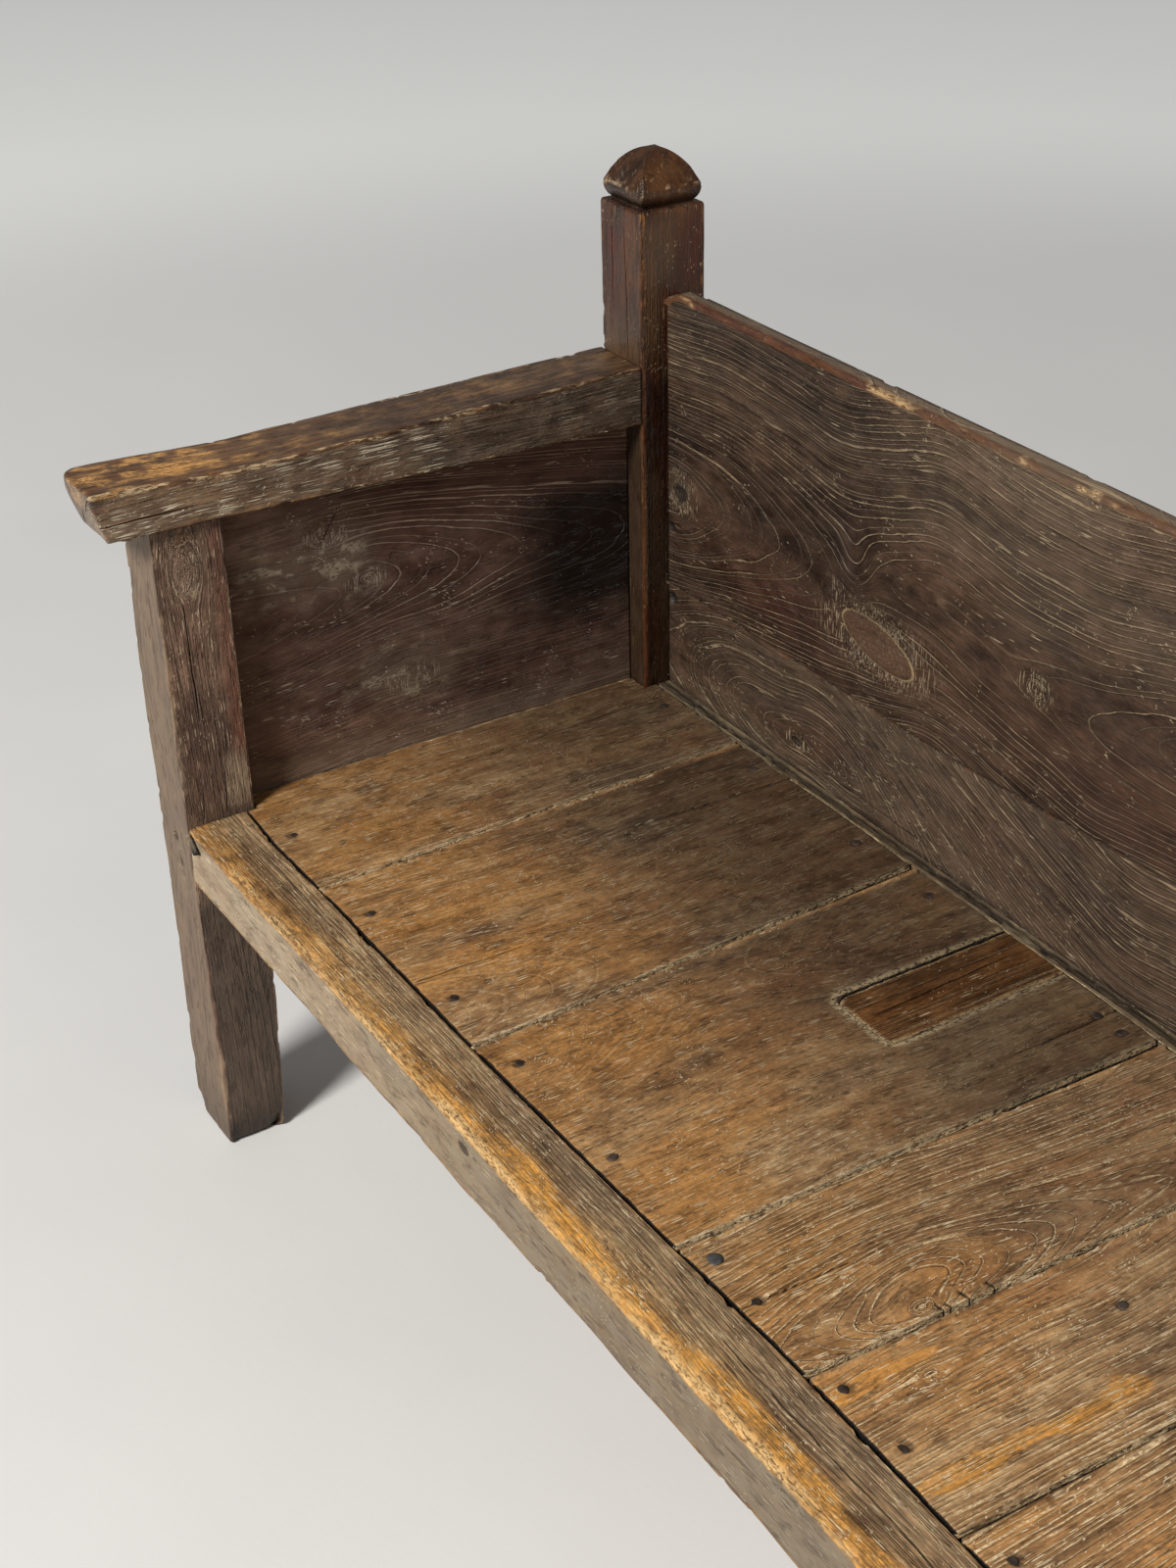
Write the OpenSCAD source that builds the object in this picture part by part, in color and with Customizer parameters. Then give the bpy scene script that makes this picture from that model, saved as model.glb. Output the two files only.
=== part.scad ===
// Monks bench: a post and rail settle with plank sides, a two board back and a seat of
// planks nailed across the rails. Millimetres, +Z up. The origin is on the floor under
// the middle of the bench, +Y points to the back and +X runs along the seat.
//
// Each end is drawn once, with x = 0 on the outer face of its posts and y = 0 on their
// front face, then set in place on the left and mirrored on the right.

/* [Bench] */
// Overall length, measured over the two arms
bench_length = 2000; // [1700:10:2300]
// Height of the seat above the floor
seat_height = 410; // [390:5:440]
// Front of the front posts to the back of the back posts
frame_depth = 642; // [600:1:680]

/* [Front posts] */
// Width of a front post at the floor
foot_width = 92; // [84:1:98]
// Width of a front post beside the seat
post_width = 80; // [78:1:84]
// Width of a front post under the arm
post_top_width = 78; // [70:1:80]
// Depth of a front post, front to back
front_post_depth = 79; // [76:1:84]
// Depth of a front post at the floor, where its back face tapers in
foot_depth = 69; // [60:1:76]
// How far the hewn outer face of a front post bows out
post_bow = 6; // [0:1:7]

/* [Back posts] */
// Depth of a back post
back_post_depth = 81; // [78:1:86]
// Height of a back post up to the shoulder below its finial
back_post_height = 953; // [930:1:1000]
// Height of the domed finial above the shoulder
finial_height = 55; // [48:1:62]
// Width of the finial at its widest
finial_width = 77; // [70:1:78]
// Width of the finial's neck where it meets the shoulder
neck_width = 62; // [54:1:64]
// Height of the finial's widest line above the shoulder
finial_rim = 19; // [14:1:22]

/* [Seat] */
// Height of the seat rails
rail_height = 72; // [68:1:90]
// Thickness of the seat boards, which lie in the rails' rebate
board_thickness = 26; // [22:1:28]
// Width of the front rail's top, in front of the boards
rail_top = 66; // [60:1:70]
// Width of the rebate under the boards' ends
rebate = 39; // [34:1:42]
// Space left at each end of a board
board_clearance = 1; // [0.5:0.5:2]
// Worn front edge of the front rail
rail_wear = 10; // [4:1:14]
// Flat planed off the other long edges of the rails
rail_ease = 4; // [2:0.5:6]
// How far a board's worn left edge has sunk below its neighbour
board_drop = 4.8; // [1:0.2:8]
// Width of the worn slope down to that edge
board_slope = 14; // [8:1:15]
// Flat worn off the right edge of a board
board_ease = 1.5; // [0.5:0.5:3]

/* [Arms] */
// Top of the arms above the seat
arm_rise = 380; // [370:5:400]
// Thickness of an arm over the front post
arm_thickness = 54; // [48:1:60]
// How much deeper an arm is where it meets the back post
arm_swell = 13; // [0:1:16]
// How far an arm stands out past the front post
arm_overhang = 54; // [40:1:60]
// How far an arm stands outside the posts
arm_proud = 8; // [8:1:12]
// Radius of the rounded outer front corner
arm_corner = 22; // [14:1:30]
// How far the arm's front end is cut back underneath
arm_undercut = 14; // [8:1:18]
// Worn long edges of an arm
arm_wear = 7; // [3:1:9]

/* [Sides and back] */
// Thickness of the side panels
panel_thickness = 20; // [16:1:22]
// Inner face of the side panels, from the outer face of the posts
panel_face = 50; // [46:1:54]
// Front face of the back boards, from the front face of the back posts
back_board_set = 26; // [20:1:30]
// Thickness of the upper back board
back_board_thickness = 24; // [20:1:26]
// Top of the upper back board above the seat
back_board_rise = 461; // [440:1:480]
// Height of the lower back board at its left and right ends
lower_board_ends = [126, 152]; // [110:1:170]
// How much thinner the lower back board is
lower_board_step = 2; // [0:1:4]

/* [Joints] */
// Thickness of the tenons
tenon_thickness = 28; // [22:1:30]
// Length of the rails' and arms' tenons
tenon_length = 44; // [36:1:46]
// Depth of the grooves that hold the panels and back boards
groove_depth = 12; // [8:1:14]
// Diameter of the oak pegs through the tenons
peg_width = 11; // [8:1:12]
// Diameter of the nail heads
nail_head_width = 13; // [10:1:15]
// Diameter of the nail shanks
nail_shank_width = 4.6; // [3.6:0.2:5.4]
// Length of the nails
nail_length = 56; // [44:1:64]

/* [Repair] */
// Left and right edge of the patch let into the third board
patch_sides = [683, 767]; // [600:1:850]
// Front end of the patch, from the front of the bench
patch_front = 374; // [340:1:420]
// Thickness of the patch
patch_thickness = 9; // [6:1:12]
// How far the patch has sunk below the seat
patch_sink = 1; // [0:0.5:2]

/* [Hidden] */
// Joints between the seat boards at the front and at the back, first and last are the panels
joints_front = [50, 258, 568, 885, 1052, 1228, 1472, 1740];
joints_back = [50, 243, 546, 893, 1065, 1238, 1464, 1728];
// Nails along the front rail, along the back rail and one odd one in the fifth board
front_nails = [151, 324, 492, 610, 763, 911, 968, 1077, 1145, 1263, 1418, 1530, 1672, 1788, 1880];
back_nails = [128, 300, 480, 596, 832, 864, 938, 1024, 1100, 1196, 1290, 1420, 1520, 1690, 1784, 1870];
odd_nail = [1121, 318];
front_nail_line = 88;
back_nail_line = 556;

board_count = len(joints_front);
gap = 2;
slip = 0.1;
post_span = bench_length - 2 * arm_proud;
end_x = -post_span / 2;
mid_y = (frame_depth - arm_overhang) / 2;
back_post_front = frame_depth - back_post_depth;
rail_bottom = seat_height - rail_height;
rebate_level = seat_height - board_thickness;
arm_top = seat_height + arm_rise;
arm_under = arm_top - arm_thickness;
arm_under_back = arm_under - arm_swell;
arm_inner = post_width;
rail_ends = [post_width, post_span - post_width];
back_board_front = back_post_front + back_board_set;
back_board_back = back_board_front + back_board_thickness;
board_back_end = back_board_front - 9;
back_rail_front = board_back_end - rebate;
back_rail_back = back_board_back + 14;
back_board_top = seat_height + back_board_rise;
panel_outer = panel_face - panel_thickness;
side_rail_outer = 8;
tenon_low = rail_bottom + 12;
tenon_high = rebate_level - 6;
front_tenon = [14, 14 + tenon_thickness];
back_tenon = [frame_depth - 48, frame_depth - 48 + tenon_thickness];
side_tenon = [24, 24 + tenon_thickness];
side_tenon_length = 30;
arm_tenon_low = arm_under + 8;
arm_tenon_high = arm_top - 12;
post_tenon_height = 38;
post_tenon_front = [18, 60];
nail_head_height = 1.8;
dome_steps = 9;

// ---- placing and shaping helpers ----

// From the drawing of one end to the bench's own frame, on the left and on the right
module on_left() {
    translate([end_x, -mid_y, 0]) children();
}

module on_right() {
    mirror([1, 0, 0]) on_left() children();
}

// A solid block between two corners
module block(low, high) {
    translate(low) cube(high - low);
}

// An outline in x and z, drawn from y_start to y_end
module deep(y_start, y_end) {
    translate([0, y_end, 0]) rotate([90, 0, 0]) linear_extrude(y_end - y_start) children();
}

// An outline in y and z, drawn from x_start to x_end
module long(x_start, x_end) {
    translate([x_start, 0, 0]) rotate([90, 0, 90]) linear_extrude(x_end - x_start) children();
}

// A round peg or hole along y, from a point forwards or backwards
module peg_along_y(x, z, y_start, y_end, width) {
    translate([x, y_end, z]) rotate([90, 0, 0]) cylinder(h = y_end - y_start, d = width, $fn = 24);
}

module peg_along_x(y, z, x_start, x_end, width) {
    translate([x_start, y, z]) rotate([0, 90, 0]) cylinder(h = x_end - x_start, d = width, $fn = 24);
}

// ---- tenons, each used once as the tenon and once, a little deeper, as its mortise ----

module front_rail_tenon(extra = 0) {
    low = [post_width - tenon_length - extra, front_tenon[0], tenon_low];
    block(low, [post_width, front_tenon[1], tenon_high]);
}

module back_rail_tenon(extra = 0) {
    low = [post_width - tenon_length - extra, back_tenon[0], tenon_low];
    block(low, [post_width, back_tenon[1], tenon_high]);
}

module side_rail_front_tenon(extra = 0) {
    low = [side_tenon[0], front_post_depth - side_tenon_length - extra, tenon_low];
    block(low, [side_tenon[1], front_post_depth, tenon_high]);
}

module side_rail_back_tenon(extra = 0) {
    high = [side_tenon[1], back_post_front + side_tenon_length + extra, tenon_high];
    block([side_tenon[0], back_post_front, tenon_low], high);
}

module arm_tenon(extra = 0) {
    high = [side_tenon[1], back_post_front + tenon_length + extra, arm_tenon_high];
    block([side_tenon[0], back_post_front, arm_tenon_low], high);
}

module post_top_tenon(extra = 0) {
    high = [side_tenon[1], post_tenon_front[1], arm_under + post_tenon_height + extra];
    block([side_tenon[0], post_tenon_front[0], arm_under], high);
}

// ---- pegs, all round, driven through a post's cheek and the tenon inside it ----

module end_rail_pegs(width) {
    peg_along_y(39, seat_height - 29, 0, front_tenon[1] + 6, width);
    peg_along_y(57, seat_height - 36, back_tenon[0] - 6, frame_depth, width);
    peg_along_x(front_post_depth - 14, seat_height - 42, 0, side_tenon[1] + 6, width);
    peg_along_x(back_post_front + 14, seat_height - 42, 0, side_tenon[1] + 6, width);
}

module end_arm_pegs(width) {
    peg_along_x(back_post_front + 21, arm_top - 32, 0, side_tenon[1] + 6, width);
}

// ---- posts ----

module front_post() {
    outline = [
        [3, 0],
        [foot_width - 4, 0],
        [foot_width, 5],
        [foot_width - 4, 0.42 * seat_height],
        [post_width, rail_bottom],
        [post_width, seat_height],
        [post_top_width - 6, arm_under],
        [-post_bow + 1, arm_under],
        [-post_bow, 0.5 * (seat_height + arm_under)],
        [-post_bow / 3, seat_height],
        [0, 0.55 * seat_height],
        [0, 4]
    ];
    side = [
        [3, 0],
        [foot_depth - 4, 0],
        [foot_depth, 5],
        [front_post_depth - 2, 0.5 * rail_bottom],
        [front_post_depth, rail_bottom],
        [front_post_depth, arm_under],
        [0, arm_under],
        [0, 4]
    ];
    difference() {
        union() {
            intersection() {
                deep(0, front_post_depth) polygon(outline);
                long(-post_bow, foot_width) polygon(side);
            }
            post_top_tenon();
        }
        front_rail_tenon(1);
        side_rail_front_tenon(1);
        panel_in_post_groove();
        end_rail_pegs(peg_width + 2 * slip);
    }
}

// Half the width of the finial's dome at a height above its widest line, as a rounded curve
function dome_point(t) = [
    t * finial_width / 2,
    back_post_height + finial_rim + (finial_height - finial_rim) * (1 - pow(abs(t), 1.75))
];

// One face of a back post with its finial, as an outline about its own middle line
module back_post_face(width) {
    half = width / 2;
    rim = back_post_height + finial_rim;
    right_side = [
        [half - 3, 0],
        [half, 4],
        [half, back_post_height - 4],
        [half - 3, back_post_height],
        [neck_width / 2, back_post_height],
        [neck_width / 2 + 1, back_post_height + 3],
        [finial_width / 2 - 1, rim - 4]
    ];
    dome = [for (i = [dome_steps : -1 : -dome_steps]) dome_point(i / dome_steps)];
    left_side = [for (i = [len(right_side) - 1 : -1 : 0]) [-right_side[i][0], right_side[i][1]]];
    polygon(concat(right_side, dome, left_side));
}

// The plan of a back post, a square with its four long edges worn off
module back_post_plan(width, depth, wear) {
    polygon([
        [wear, 0],
        [width - wear, 0],
        [width, wear],
        [width, depth - wear],
        [width - wear, depth],
        [wear, depth],
        [0, depth - wear],
        [0, wear]
    ]);
}

module back_post() {
    difference() {
        intersection() {
            translate([0, back_post_front, 0])
                linear_extrude(back_post_height + finial_height + 1)
                    back_post_plan(post_width, back_post_depth, 3);
            deep(back_post_front, frame_depth)
                translate([post_width / 2, 0]) back_post_face(post_width);
            long(0, post_width)
                translate([back_post_front + back_post_depth / 2, 0]) back_post_face(back_post_depth);
        }
        back_rail_tenon(1);
        side_rail_back_tenon(1);
        arm_tenon(1);
        panel_in_post_groove();
        back_board_groove();
        end_rail_pegs(peg_width + 2 * slip);
        end_arm_pegs(peg_width + 2 * slip);
    }
}

// ---- grooves ----

// The side panel's ends run in grooves in both posts
module panel_in_post_groove() {
    low = [panel_outer, front_post_depth - groove_depth, rebate_level];
    block(low, [panel_face, back_post_front + groove_depth, arm_under + 8]);
}

// The back boards' ends run in a groove in each back post
module back_board_groove() {
    low = [post_width - groove_depth, back_board_front, seat_height];
    block(low, [post_width + 1, back_board_back, back_board_top]);
}

// ---- seat rails, all rebated for the boards ----

module front_rail() {
    section = [
        [0, rail_bottom + rail_ease],
        [rail_ease, rail_bottom],
        [rail_top + rebate, rail_bottom],
        [rail_top + rebate, rebate_level],
        [rail_top, rebate_level],
        [rail_top, seat_height],
        [rail_wear, seat_height],
        [0.35 * rail_wear, seat_height - 0.3 * rail_wear],
        [0, seat_height - rail_wear]
    ];
    difference() {
        union() {
            long(rail_ends[0], rail_ends[1]) polygon(section);
            front_rail_tenon();
            translate([post_span, 0, 0]) mirror([1, 0, 0]) front_rail_tenon();
        }
        end_rail_pegs(peg_width + 2 * slip);
        translate([post_span, 0, 0]) mirror([1, 0, 0]) end_rail_pegs(peg_width + 2 * slip);
        front_nail_holes();
    }
}

module back_rail() {
    section = [
        [back_rail_front, rail_bottom],
        [back_rail_back - rail_ease, rail_bottom],
        [back_rail_back, rail_bottom + rail_ease],
        [back_rail_back, seat_height - rail_ease],
        [back_rail_back - rail_ease, seat_height],
        [board_back_end, seat_height],
        [board_back_end, rebate_level],
        [back_rail_front, rebate_level]
    ];
    difference() {
        union() {
            long(rail_ends[0], rail_ends[1]) polygon(section);
            back_rail_tenon();
            translate([post_span, 0, 0]) mirror([1, 0, 0]) back_rail_tenon();
        }
        end_rail_pegs(peg_width + 2 * slip);
        translate([post_span, 0, 0]) mirror([1, 0, 0]) end_rail_pegs(peg_width + 2 * slip);
        back_nail_holes();
    }
}

module side_rail() {
    section = [
        [side_rail_outer + rail_ease, rail_bottom],
        [post_width, rail_bottom],
        [post_width, rebate_level],
        [panel_outer, rebate_level],
        [panel_outer, seat_height],
        [side_rail_outer + rail_ease, seat_height],
        [side_rail_outer, seat_height - rail_ease],
        [side_rail_outer, rail_bottom + rail_ease]
    ];
    difference() {
        union() {
            deep(front_post_depth, back_post_front) polygon(section);
            side_rail_front_tenon();
            side_rail_back_tenon();
        }
        end_rail_pegs(peg_width + 2 * slip);
    }
}

// ---- arms and side panels ----

// The arm seen from the side, from its undercut front end to the back post
module arm_side() {
    polygon([
        [-arm_overhang + 3, arm_top],
        [-arm_overhang, arm_top - 5],
        [-arm_overhang + 1, arm_top - 18],
        [-arm_overhang + arm_undercut, arm_under + 6],
        [-arm_overhang + arm_undercut + 5, arm_under],
        [front_post_depth, arm_under],
        [back_post_front, arm_under_back],
        [back_post_front, arm_top]
    ]);
}

// The arm seen from above, with its rounded outer front corner
module arm_plan() {
    outer = -arm_proud;
    corner = [for (a = [270 : -15 : 180])
        [outer + arm_corner * (1 + cos(a)), -arm_overhang + arm_corner * (1 + sin(a))]];
    inner = [[arm_inner - 4, -arm_overhang], [arm_inner, -arm_overhang + 4]];
    polygon(concat(corner, [[outer, back_post_front], [arm_inner, back_post_front]],
        [inner[1], inner[0]]));
}

// The arm's section, square below and worn round along its top edges
module arm_section() {
    outer = -arm_proud;
    left_edge = [for (a = [180 : -18 : 90])
        [outer + arm_wear * (1 + cos(a)), arm_top - arm_wear * (1 - sin(a))]];
    right_edge = [for (a = [90 : -18 : 0])
        [arm_inner - arm_wear * (1 - cos(a)), arm_top - arm_wear * (1 - sin(a))]];
    base = [[arm_inner, arm_under_back - 1], [outer, arm_under_back - 1]];
    polygon(concat(left_edge, right_edge, base));
}

module arm() {
    difference() {
        union() {
            intersection() {
                long(-arm_proud, arm_inner) arm_side();
                deep(-arm_overhang, back_post_front) arm_section();
                translate([0, 0, arm_under_back - 1]) linear_extrude(arm_top) arm_plan();
            }
            arm_tenon();
        }
        post_top_tenon(1);
        panel_in_arm_groove();
        end_arm_pegs(peg_width + 2 * slip);
    }
}

module panel_in_arm_groove() {
    low = [panel_outer, front_post_depth - groove_depth, rebate_level];
    block(low, [panel_face, back_post_front, arm_under + 8]);
}

module side_panel() {
    low = [panel_outer, front_post_depth - groove_depth + 1, rebate_level];
    block(low, [panel_face, back_post_front + groove_depth - 1, arm_under + 8]);
}

// ---- back boards ----

// Where the joint between the two back boards lies at their left and right ends
joint_left = [post_width - groove_depth, seat_height + lower_board_ends[0]];
joint_right = [post_span - post_width + groove_depth, seat_height + lower_board_ends[1]];

module upper_board() {
    arris = 7;
    difference() {
        deep(back_board_front, back_board_back) polygon([
            joint_left,
            joint_right,
            [joint_right[0], back_board_top],
            [joint_left[0], back_board_top]
        ]);
        long(0, post_span) polygon([
            [back_board_front - 1, back_board_top + 1],
            [back_board_front - 1, back_board_top - arris - 1],
            [back_board_front + 0.3 * arris, back_board_top - 0.35 * arris],
            [back_board_front + arris + 1, back_board_top + 1]
        ]);
    }
}

module lower_board() {
    deep(back_board_front + lower_board_step, back_board_back) polygon([
        [joint_left[0], seat_height],
        [joint_right[0], seat_height],
        joint_right,
        joint_left
    ]);
}

// ---- seat boards ----

function joint_front(i) = i > board_count ? post_span - panel_face : joints_front[i - 1];
function joint_back(i) = i > board_count ? post_span - panel_face : joints_back[i - 1];
function half_gap(i) = (i == 1 || i == board_count + 1) ? 0 : gap / 2;

// Board i in plan, with the space between boards taken off its long edges
module board_plan(i) {
    front = rail_top + board_clearance;
    back = board_back_end - board_clearance;
    polygon([
        [joint_front(i) + half_gap(i), front],
        [joint_front(i + 1) - half_gap(i + 1), front],
        [joint_back(i + 1) - half_gap(i + 1), back],
        [joint_back(i) + half_gap(i), back]
    ]);
}

// The corners that an end board loses to the posts
module post_notches() {
    fit = board_clearance;
    translate([-1, 0]) square([post_width + fit + 1, front_post_depth + fit]);
    translate([-1, back_post_front - fit]) square([post_width + fit + 1, back_post_depth]);
}

// An outline drawn along the joint to the left of board i, with z = 0 at the top of the seat
// and x = 0 at an offset from the joint
module along_joint(i, offset) {
    run = [joint_back(i) - joint_front(i), board_back_end - rail_top];
    over = 5;
    translate([joint_front(i) + offset, rail_top, seat_height])
        rotate([0, 0, -atan2(run[0], run[1])])
            deep(-over, norm(run) + over) children();
}

// The slope worn down to board i's left edge, a little hollow
module worn_left_edge(i) {
    along_joint(i, gap / 2) polygon([
        [-gap, -board_drop],
        [0, -board_drop],
        [0.4 * board_slope, -0.45 * board_drop],
        [board_slope, 0],
        [board_slope, 1],
        [-gap, 1]
    ]);
}

// The small flat worn off board i's right edge
module eased_right_edge(i) {
    along_joint(i + 1, -gap / 2) polygon([
        [-board_ease, 0],
        [0, -board_ease],
        [gap, -board_ease],
        [gap, 1],
        [-board_ease, 1]
    ]);
}

module seat_board(i) {
    difference() {
        translate([0, 0, rebate_level]) linear_extrude(board_thickness) difference() {
            board_plan(i);
            post_notches();
            translate([post_span, 0]) mirror([1, 0]) post_notches();
        }
        front_nail_holes();
        back_nail_holes();
        nail_hole(odd_nail[0], odd_nail[1]);
        if (i > 1)
            worn_left_edge(i);
        if (i < board_count)
            eased_right_edge(i);
        if (i == 3)
            patch_block(seat_height - patch_thickness - patch_sink, seat_height + 1, 1);
    }
}

// The patch, or the pocket for it, which is open at the board's back end
module patch_block(low, high, over) {
    back = board_back_end - board_clearance + over;
    block([patch_sides[0], patch_front, low], [patch_sides[1], back, high]);
}

// ---- nails ----

module nail(x, y, grow = 0) {
    head_low = seat_height - nail_head_height - 0.2;
    translate([x, y, head_low])
        cylinder(h = nail_head_height + 2 * grow, d = nail_head_width + 2 * grow, $fn = 20);
    translate([x, y, seat_height - nail_length])
        cylinder(h = nail_length - 1, d = nail_shank_width + 2 * grow, $fn = 16);
}

module nail_hole(x, y) {
    nail(x, y, slip);
    translate([x, y, seat_height - 1]) cylinder(h = 2, d = nail_head_width + 2 * slip, $fn = 20);
}

module front_nail_holes() {
    for (x = front_nails) nail_hole(x, front_nail_line);
}

module back_nail_holes() {
    for (x = back_nails) nail_hole(x, back_nail_line);
}

// ---- the separate pieces of the bench ----

module left_front_post() { color("#54463b") on_left() front_post(); }
module right_front_post() { color("#54463b") on_right() front_post(); }
module left_back_post() { color("#4a3229") on_left() back_post(); }
module right_back_post() { color("#4a3229") on_right() back_post(); }
module front_seat_rail() { color("#8a6540") on_left() front_rail(); }
module back_seat_rail() { color("#4c4035") on_left() back_rail(); }
module left_seat_rail() { color("#4c4035") on_left() side_rail(); }
module right_seat_rail() { color("#4c4035") on_right() side_rail(); }
module left_arm() { color("#6d4f34") on_left() arm(); }
module right_arm() { color("#6d4f34") on_right() arm(); }
module left_side_panel() { color("#3d2a26") on_left() side_panel(); }
module right_side_panel() { color("#3d2a26") on_right() side_panel(); }
module upper_back_board() { color("#45362a") on_left() upper_board(); }
module lower_back_board() { color("#594a3c") on_left() lower_board(); }
module a_seat_board(i) { color("#7a5b3a") on_left() seat_board(i); }

module seat_patch() {
    color("#8a5630") on_left() difference() {
        patch_block(seat_height - patch_thickness - patch_sink, seat_height - patch_sink, 0);
    }
}

module front_seat_nails() {
    color("#3a3836") on_left() {
        for (x = front_nails) nail(x, front_nail_line);
        nail(odd_nail[0], odd_nail[1]);
    }
}

module back_seat_nails() {
    color("#3a3836") on_left() for (x = back_nails) nail(x, back_nail_line);
}

module rail_pegs() {
    color("#2f2520") {
        on_left() end_rail_pegs(peg_width);
        on_right() end_rail_pegs(peg_width);
    }
}

module arm_pegs() {
    color("#2f2520") {
        on_left() end_arm_pegs(peg_width);
        on_right() end_arm_pegs(peg_width);
    }
}

left_front_post();
right_front_post();
left_back_post();
right_back_post();
front_seat_rail();
back_seat_rail();
left_seat_rail();
right_seat_rail();
left_arm();
right_arm();
left_side_panel();
right_side_panel();
upper_back_board();
lower_back_board();
for (i = [1 : board_count]) a_seat_board(i);
seat_patch();
front_seat_nails();
back_seat_nails();
rail_pegs();
arm_pegs();
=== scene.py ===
import math
import bpy
import numpy as np
from mathutils import Matrix, Vector


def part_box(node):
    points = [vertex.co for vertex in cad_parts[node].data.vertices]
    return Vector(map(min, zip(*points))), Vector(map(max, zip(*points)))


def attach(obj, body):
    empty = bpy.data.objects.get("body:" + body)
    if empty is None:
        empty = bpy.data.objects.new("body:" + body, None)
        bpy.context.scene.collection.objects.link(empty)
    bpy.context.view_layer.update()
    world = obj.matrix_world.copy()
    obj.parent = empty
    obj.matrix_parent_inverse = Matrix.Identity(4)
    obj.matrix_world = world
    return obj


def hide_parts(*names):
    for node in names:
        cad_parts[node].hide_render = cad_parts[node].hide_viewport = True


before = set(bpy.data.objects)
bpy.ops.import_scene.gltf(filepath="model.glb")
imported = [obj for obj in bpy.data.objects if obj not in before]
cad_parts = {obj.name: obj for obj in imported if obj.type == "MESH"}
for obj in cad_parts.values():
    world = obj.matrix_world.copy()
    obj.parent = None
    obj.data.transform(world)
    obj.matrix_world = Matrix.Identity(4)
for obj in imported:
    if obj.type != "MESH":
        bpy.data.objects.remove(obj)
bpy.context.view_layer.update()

metre = 1000.0  # the drawing below is in millimetres

# The drawing has x = 0 on the outer face of the left posts and y = 0 on the posts' front
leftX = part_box("left_back_post")[0].x * metre
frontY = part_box("front_seat_rail")[0].y * metre
drawingOrigin = np.array([leftX, frontY, 0.0])
rightX = -2 * leftX  # outer face of the right posts


def drawn(node):
    # lowest and highest corners of a CAD node, in the drawing
    low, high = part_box(node)
    return np.array(low) * metre - drawingOrigin, np.array(high) * metre - drawingOrigin


def cadPoints(node):
    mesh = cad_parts[node].data
    flat = np.zeros(len(mesh.vertices) * 3)
    mesh.vertices.foreach_get("co", flat)
    return flat.reshape(-1, 3) * metre - drawingOrigin


railLow, railHigh = drawn("front_seat_rail")
seatTop, railBottom = railHigh[2], railLow[2]
boardLow, boardHigh = drawn("seat_board_3")
boardUnder, boardFront, boardBack = boardLow[2], boardLow[1], boardHigh[1]
backPostLow, backPostHigh = drawn("left_back_post")
postWidth, backPostFront, backPostBack = backPostHigh[0], backPostLow[1], backPostHigh[1]
frontPostBack = drawn("left_front_post")[1][1]
armLow, armHigh = drawn("left_arm")
panelLow, panelHigh = drawn("left_side_panel")
upperLow, upperHigh = drawn("upper_back_board")
lowerLow, lowerHigh = drawn("lower_back_board")
armThickness = 54
armUnder = armHigh[2] - armThickness  # over the front post
armUnderBack = armLow[2] + 1  # where it meets the back post
print("read the frame:", len(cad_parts), "nodes")


hashPrimes = np.array([73856093, 19349663, 83492791])  # these scatter the noise's whole numbers
seedPrime, firstMix, lastMix = 15485863, 668265263, 374761393


def smoothNoise(points, seed):
    # value noise on a grid of whole numbers, from -1 to 1
    cell = np.floor(points).astype(np.int64)
    part = points - cell
    part = part * part * (3 - 2 * part)
    total = np.zeros(points.shape[:-1])
    for corner in np.ndindex(2, 2, 2):
        key = (cell + corner) @ hashPrimes + seed * seedPrime
        key = (key ^ (key >> 15)) * firstMix
        key = (key ^ (key >> 13)) * lastMix
        value = ((key >> 7) & 65535) / 32767.5 - 1
        weight = np.prod(np.where(np.array(corner) == 1, part, 1 - part), axis=-1)
        total += value * weight
    return total


def noiseAlong(s, a, d, lengths, seed):
    # noise drawn out along the grain: lengths are its size along, across and through
    points = np.stack(np.broadcast_arrays(s / lengths[0], a / lengths[1], d / lengths[2]), -1)
    return smoothNoise(points + seed * 3.7, seed)


def clouds(w, seed, *sizes):
    # noise over one piece, from broad clouds to crumbs, each with its size along and across the grain
    return [noiseAlong(w["s"], w["a"], w["d"], (along, across, across), seed + i)
            for i, (along, across) in enumerate(sizes)]


def flatOf(w, face):
    # 1 on the flat of a face, without the rounding that leads into it
    return (w["face"] == face) * w["flat"]


def arrisOf(w, face):
    return (w["face"] == face) * (1 - w["flat"])


def between(value, low, high):
    # 0 below low, 1 above high, smooth in between
    t = np.clip((value - low) / (high - low), 0, 1)
    return t * t * (3 - 2 * t)


def below(value, low, high):
    # 1 below low, 0 above high
    return between(-value, -high, -low)


def spot(s, a, centre, size):
    # 1 in the middle of an oval, falling to 0 around it
    return np.exp(-(((s - centre[0]) / size[0]) ** 2 + ((a - centre[1]) / size[1]) ** 2))


def spots(s, a, patches):
    # several ovals, each with its strength
    return sum(strength * spot(s, a, centre, size) for strength, centre, size in patches)


def profile(points):
    # a curve through a few measured points
    where, value = np.array(points, float).T
    return lambda s: np.interp(s, where, value)


def flowing(points, reach=28):
    # the same curve with its corners eased, so that the grain drawn from it has no kinks
    where, value = np.array(points, float).T
    return lambda s: sum(np.interp(s + step * reach, where, value) for step in np.linspace(-1, 1, 9)) / 9


def uneven(middle, sway, length, seed):
    # a measure that wanders along the piece
    return lambda s: middle + sway * noiseAlong(s, 0 * s, 0 * s, (length, 1, 1), seed)


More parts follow.
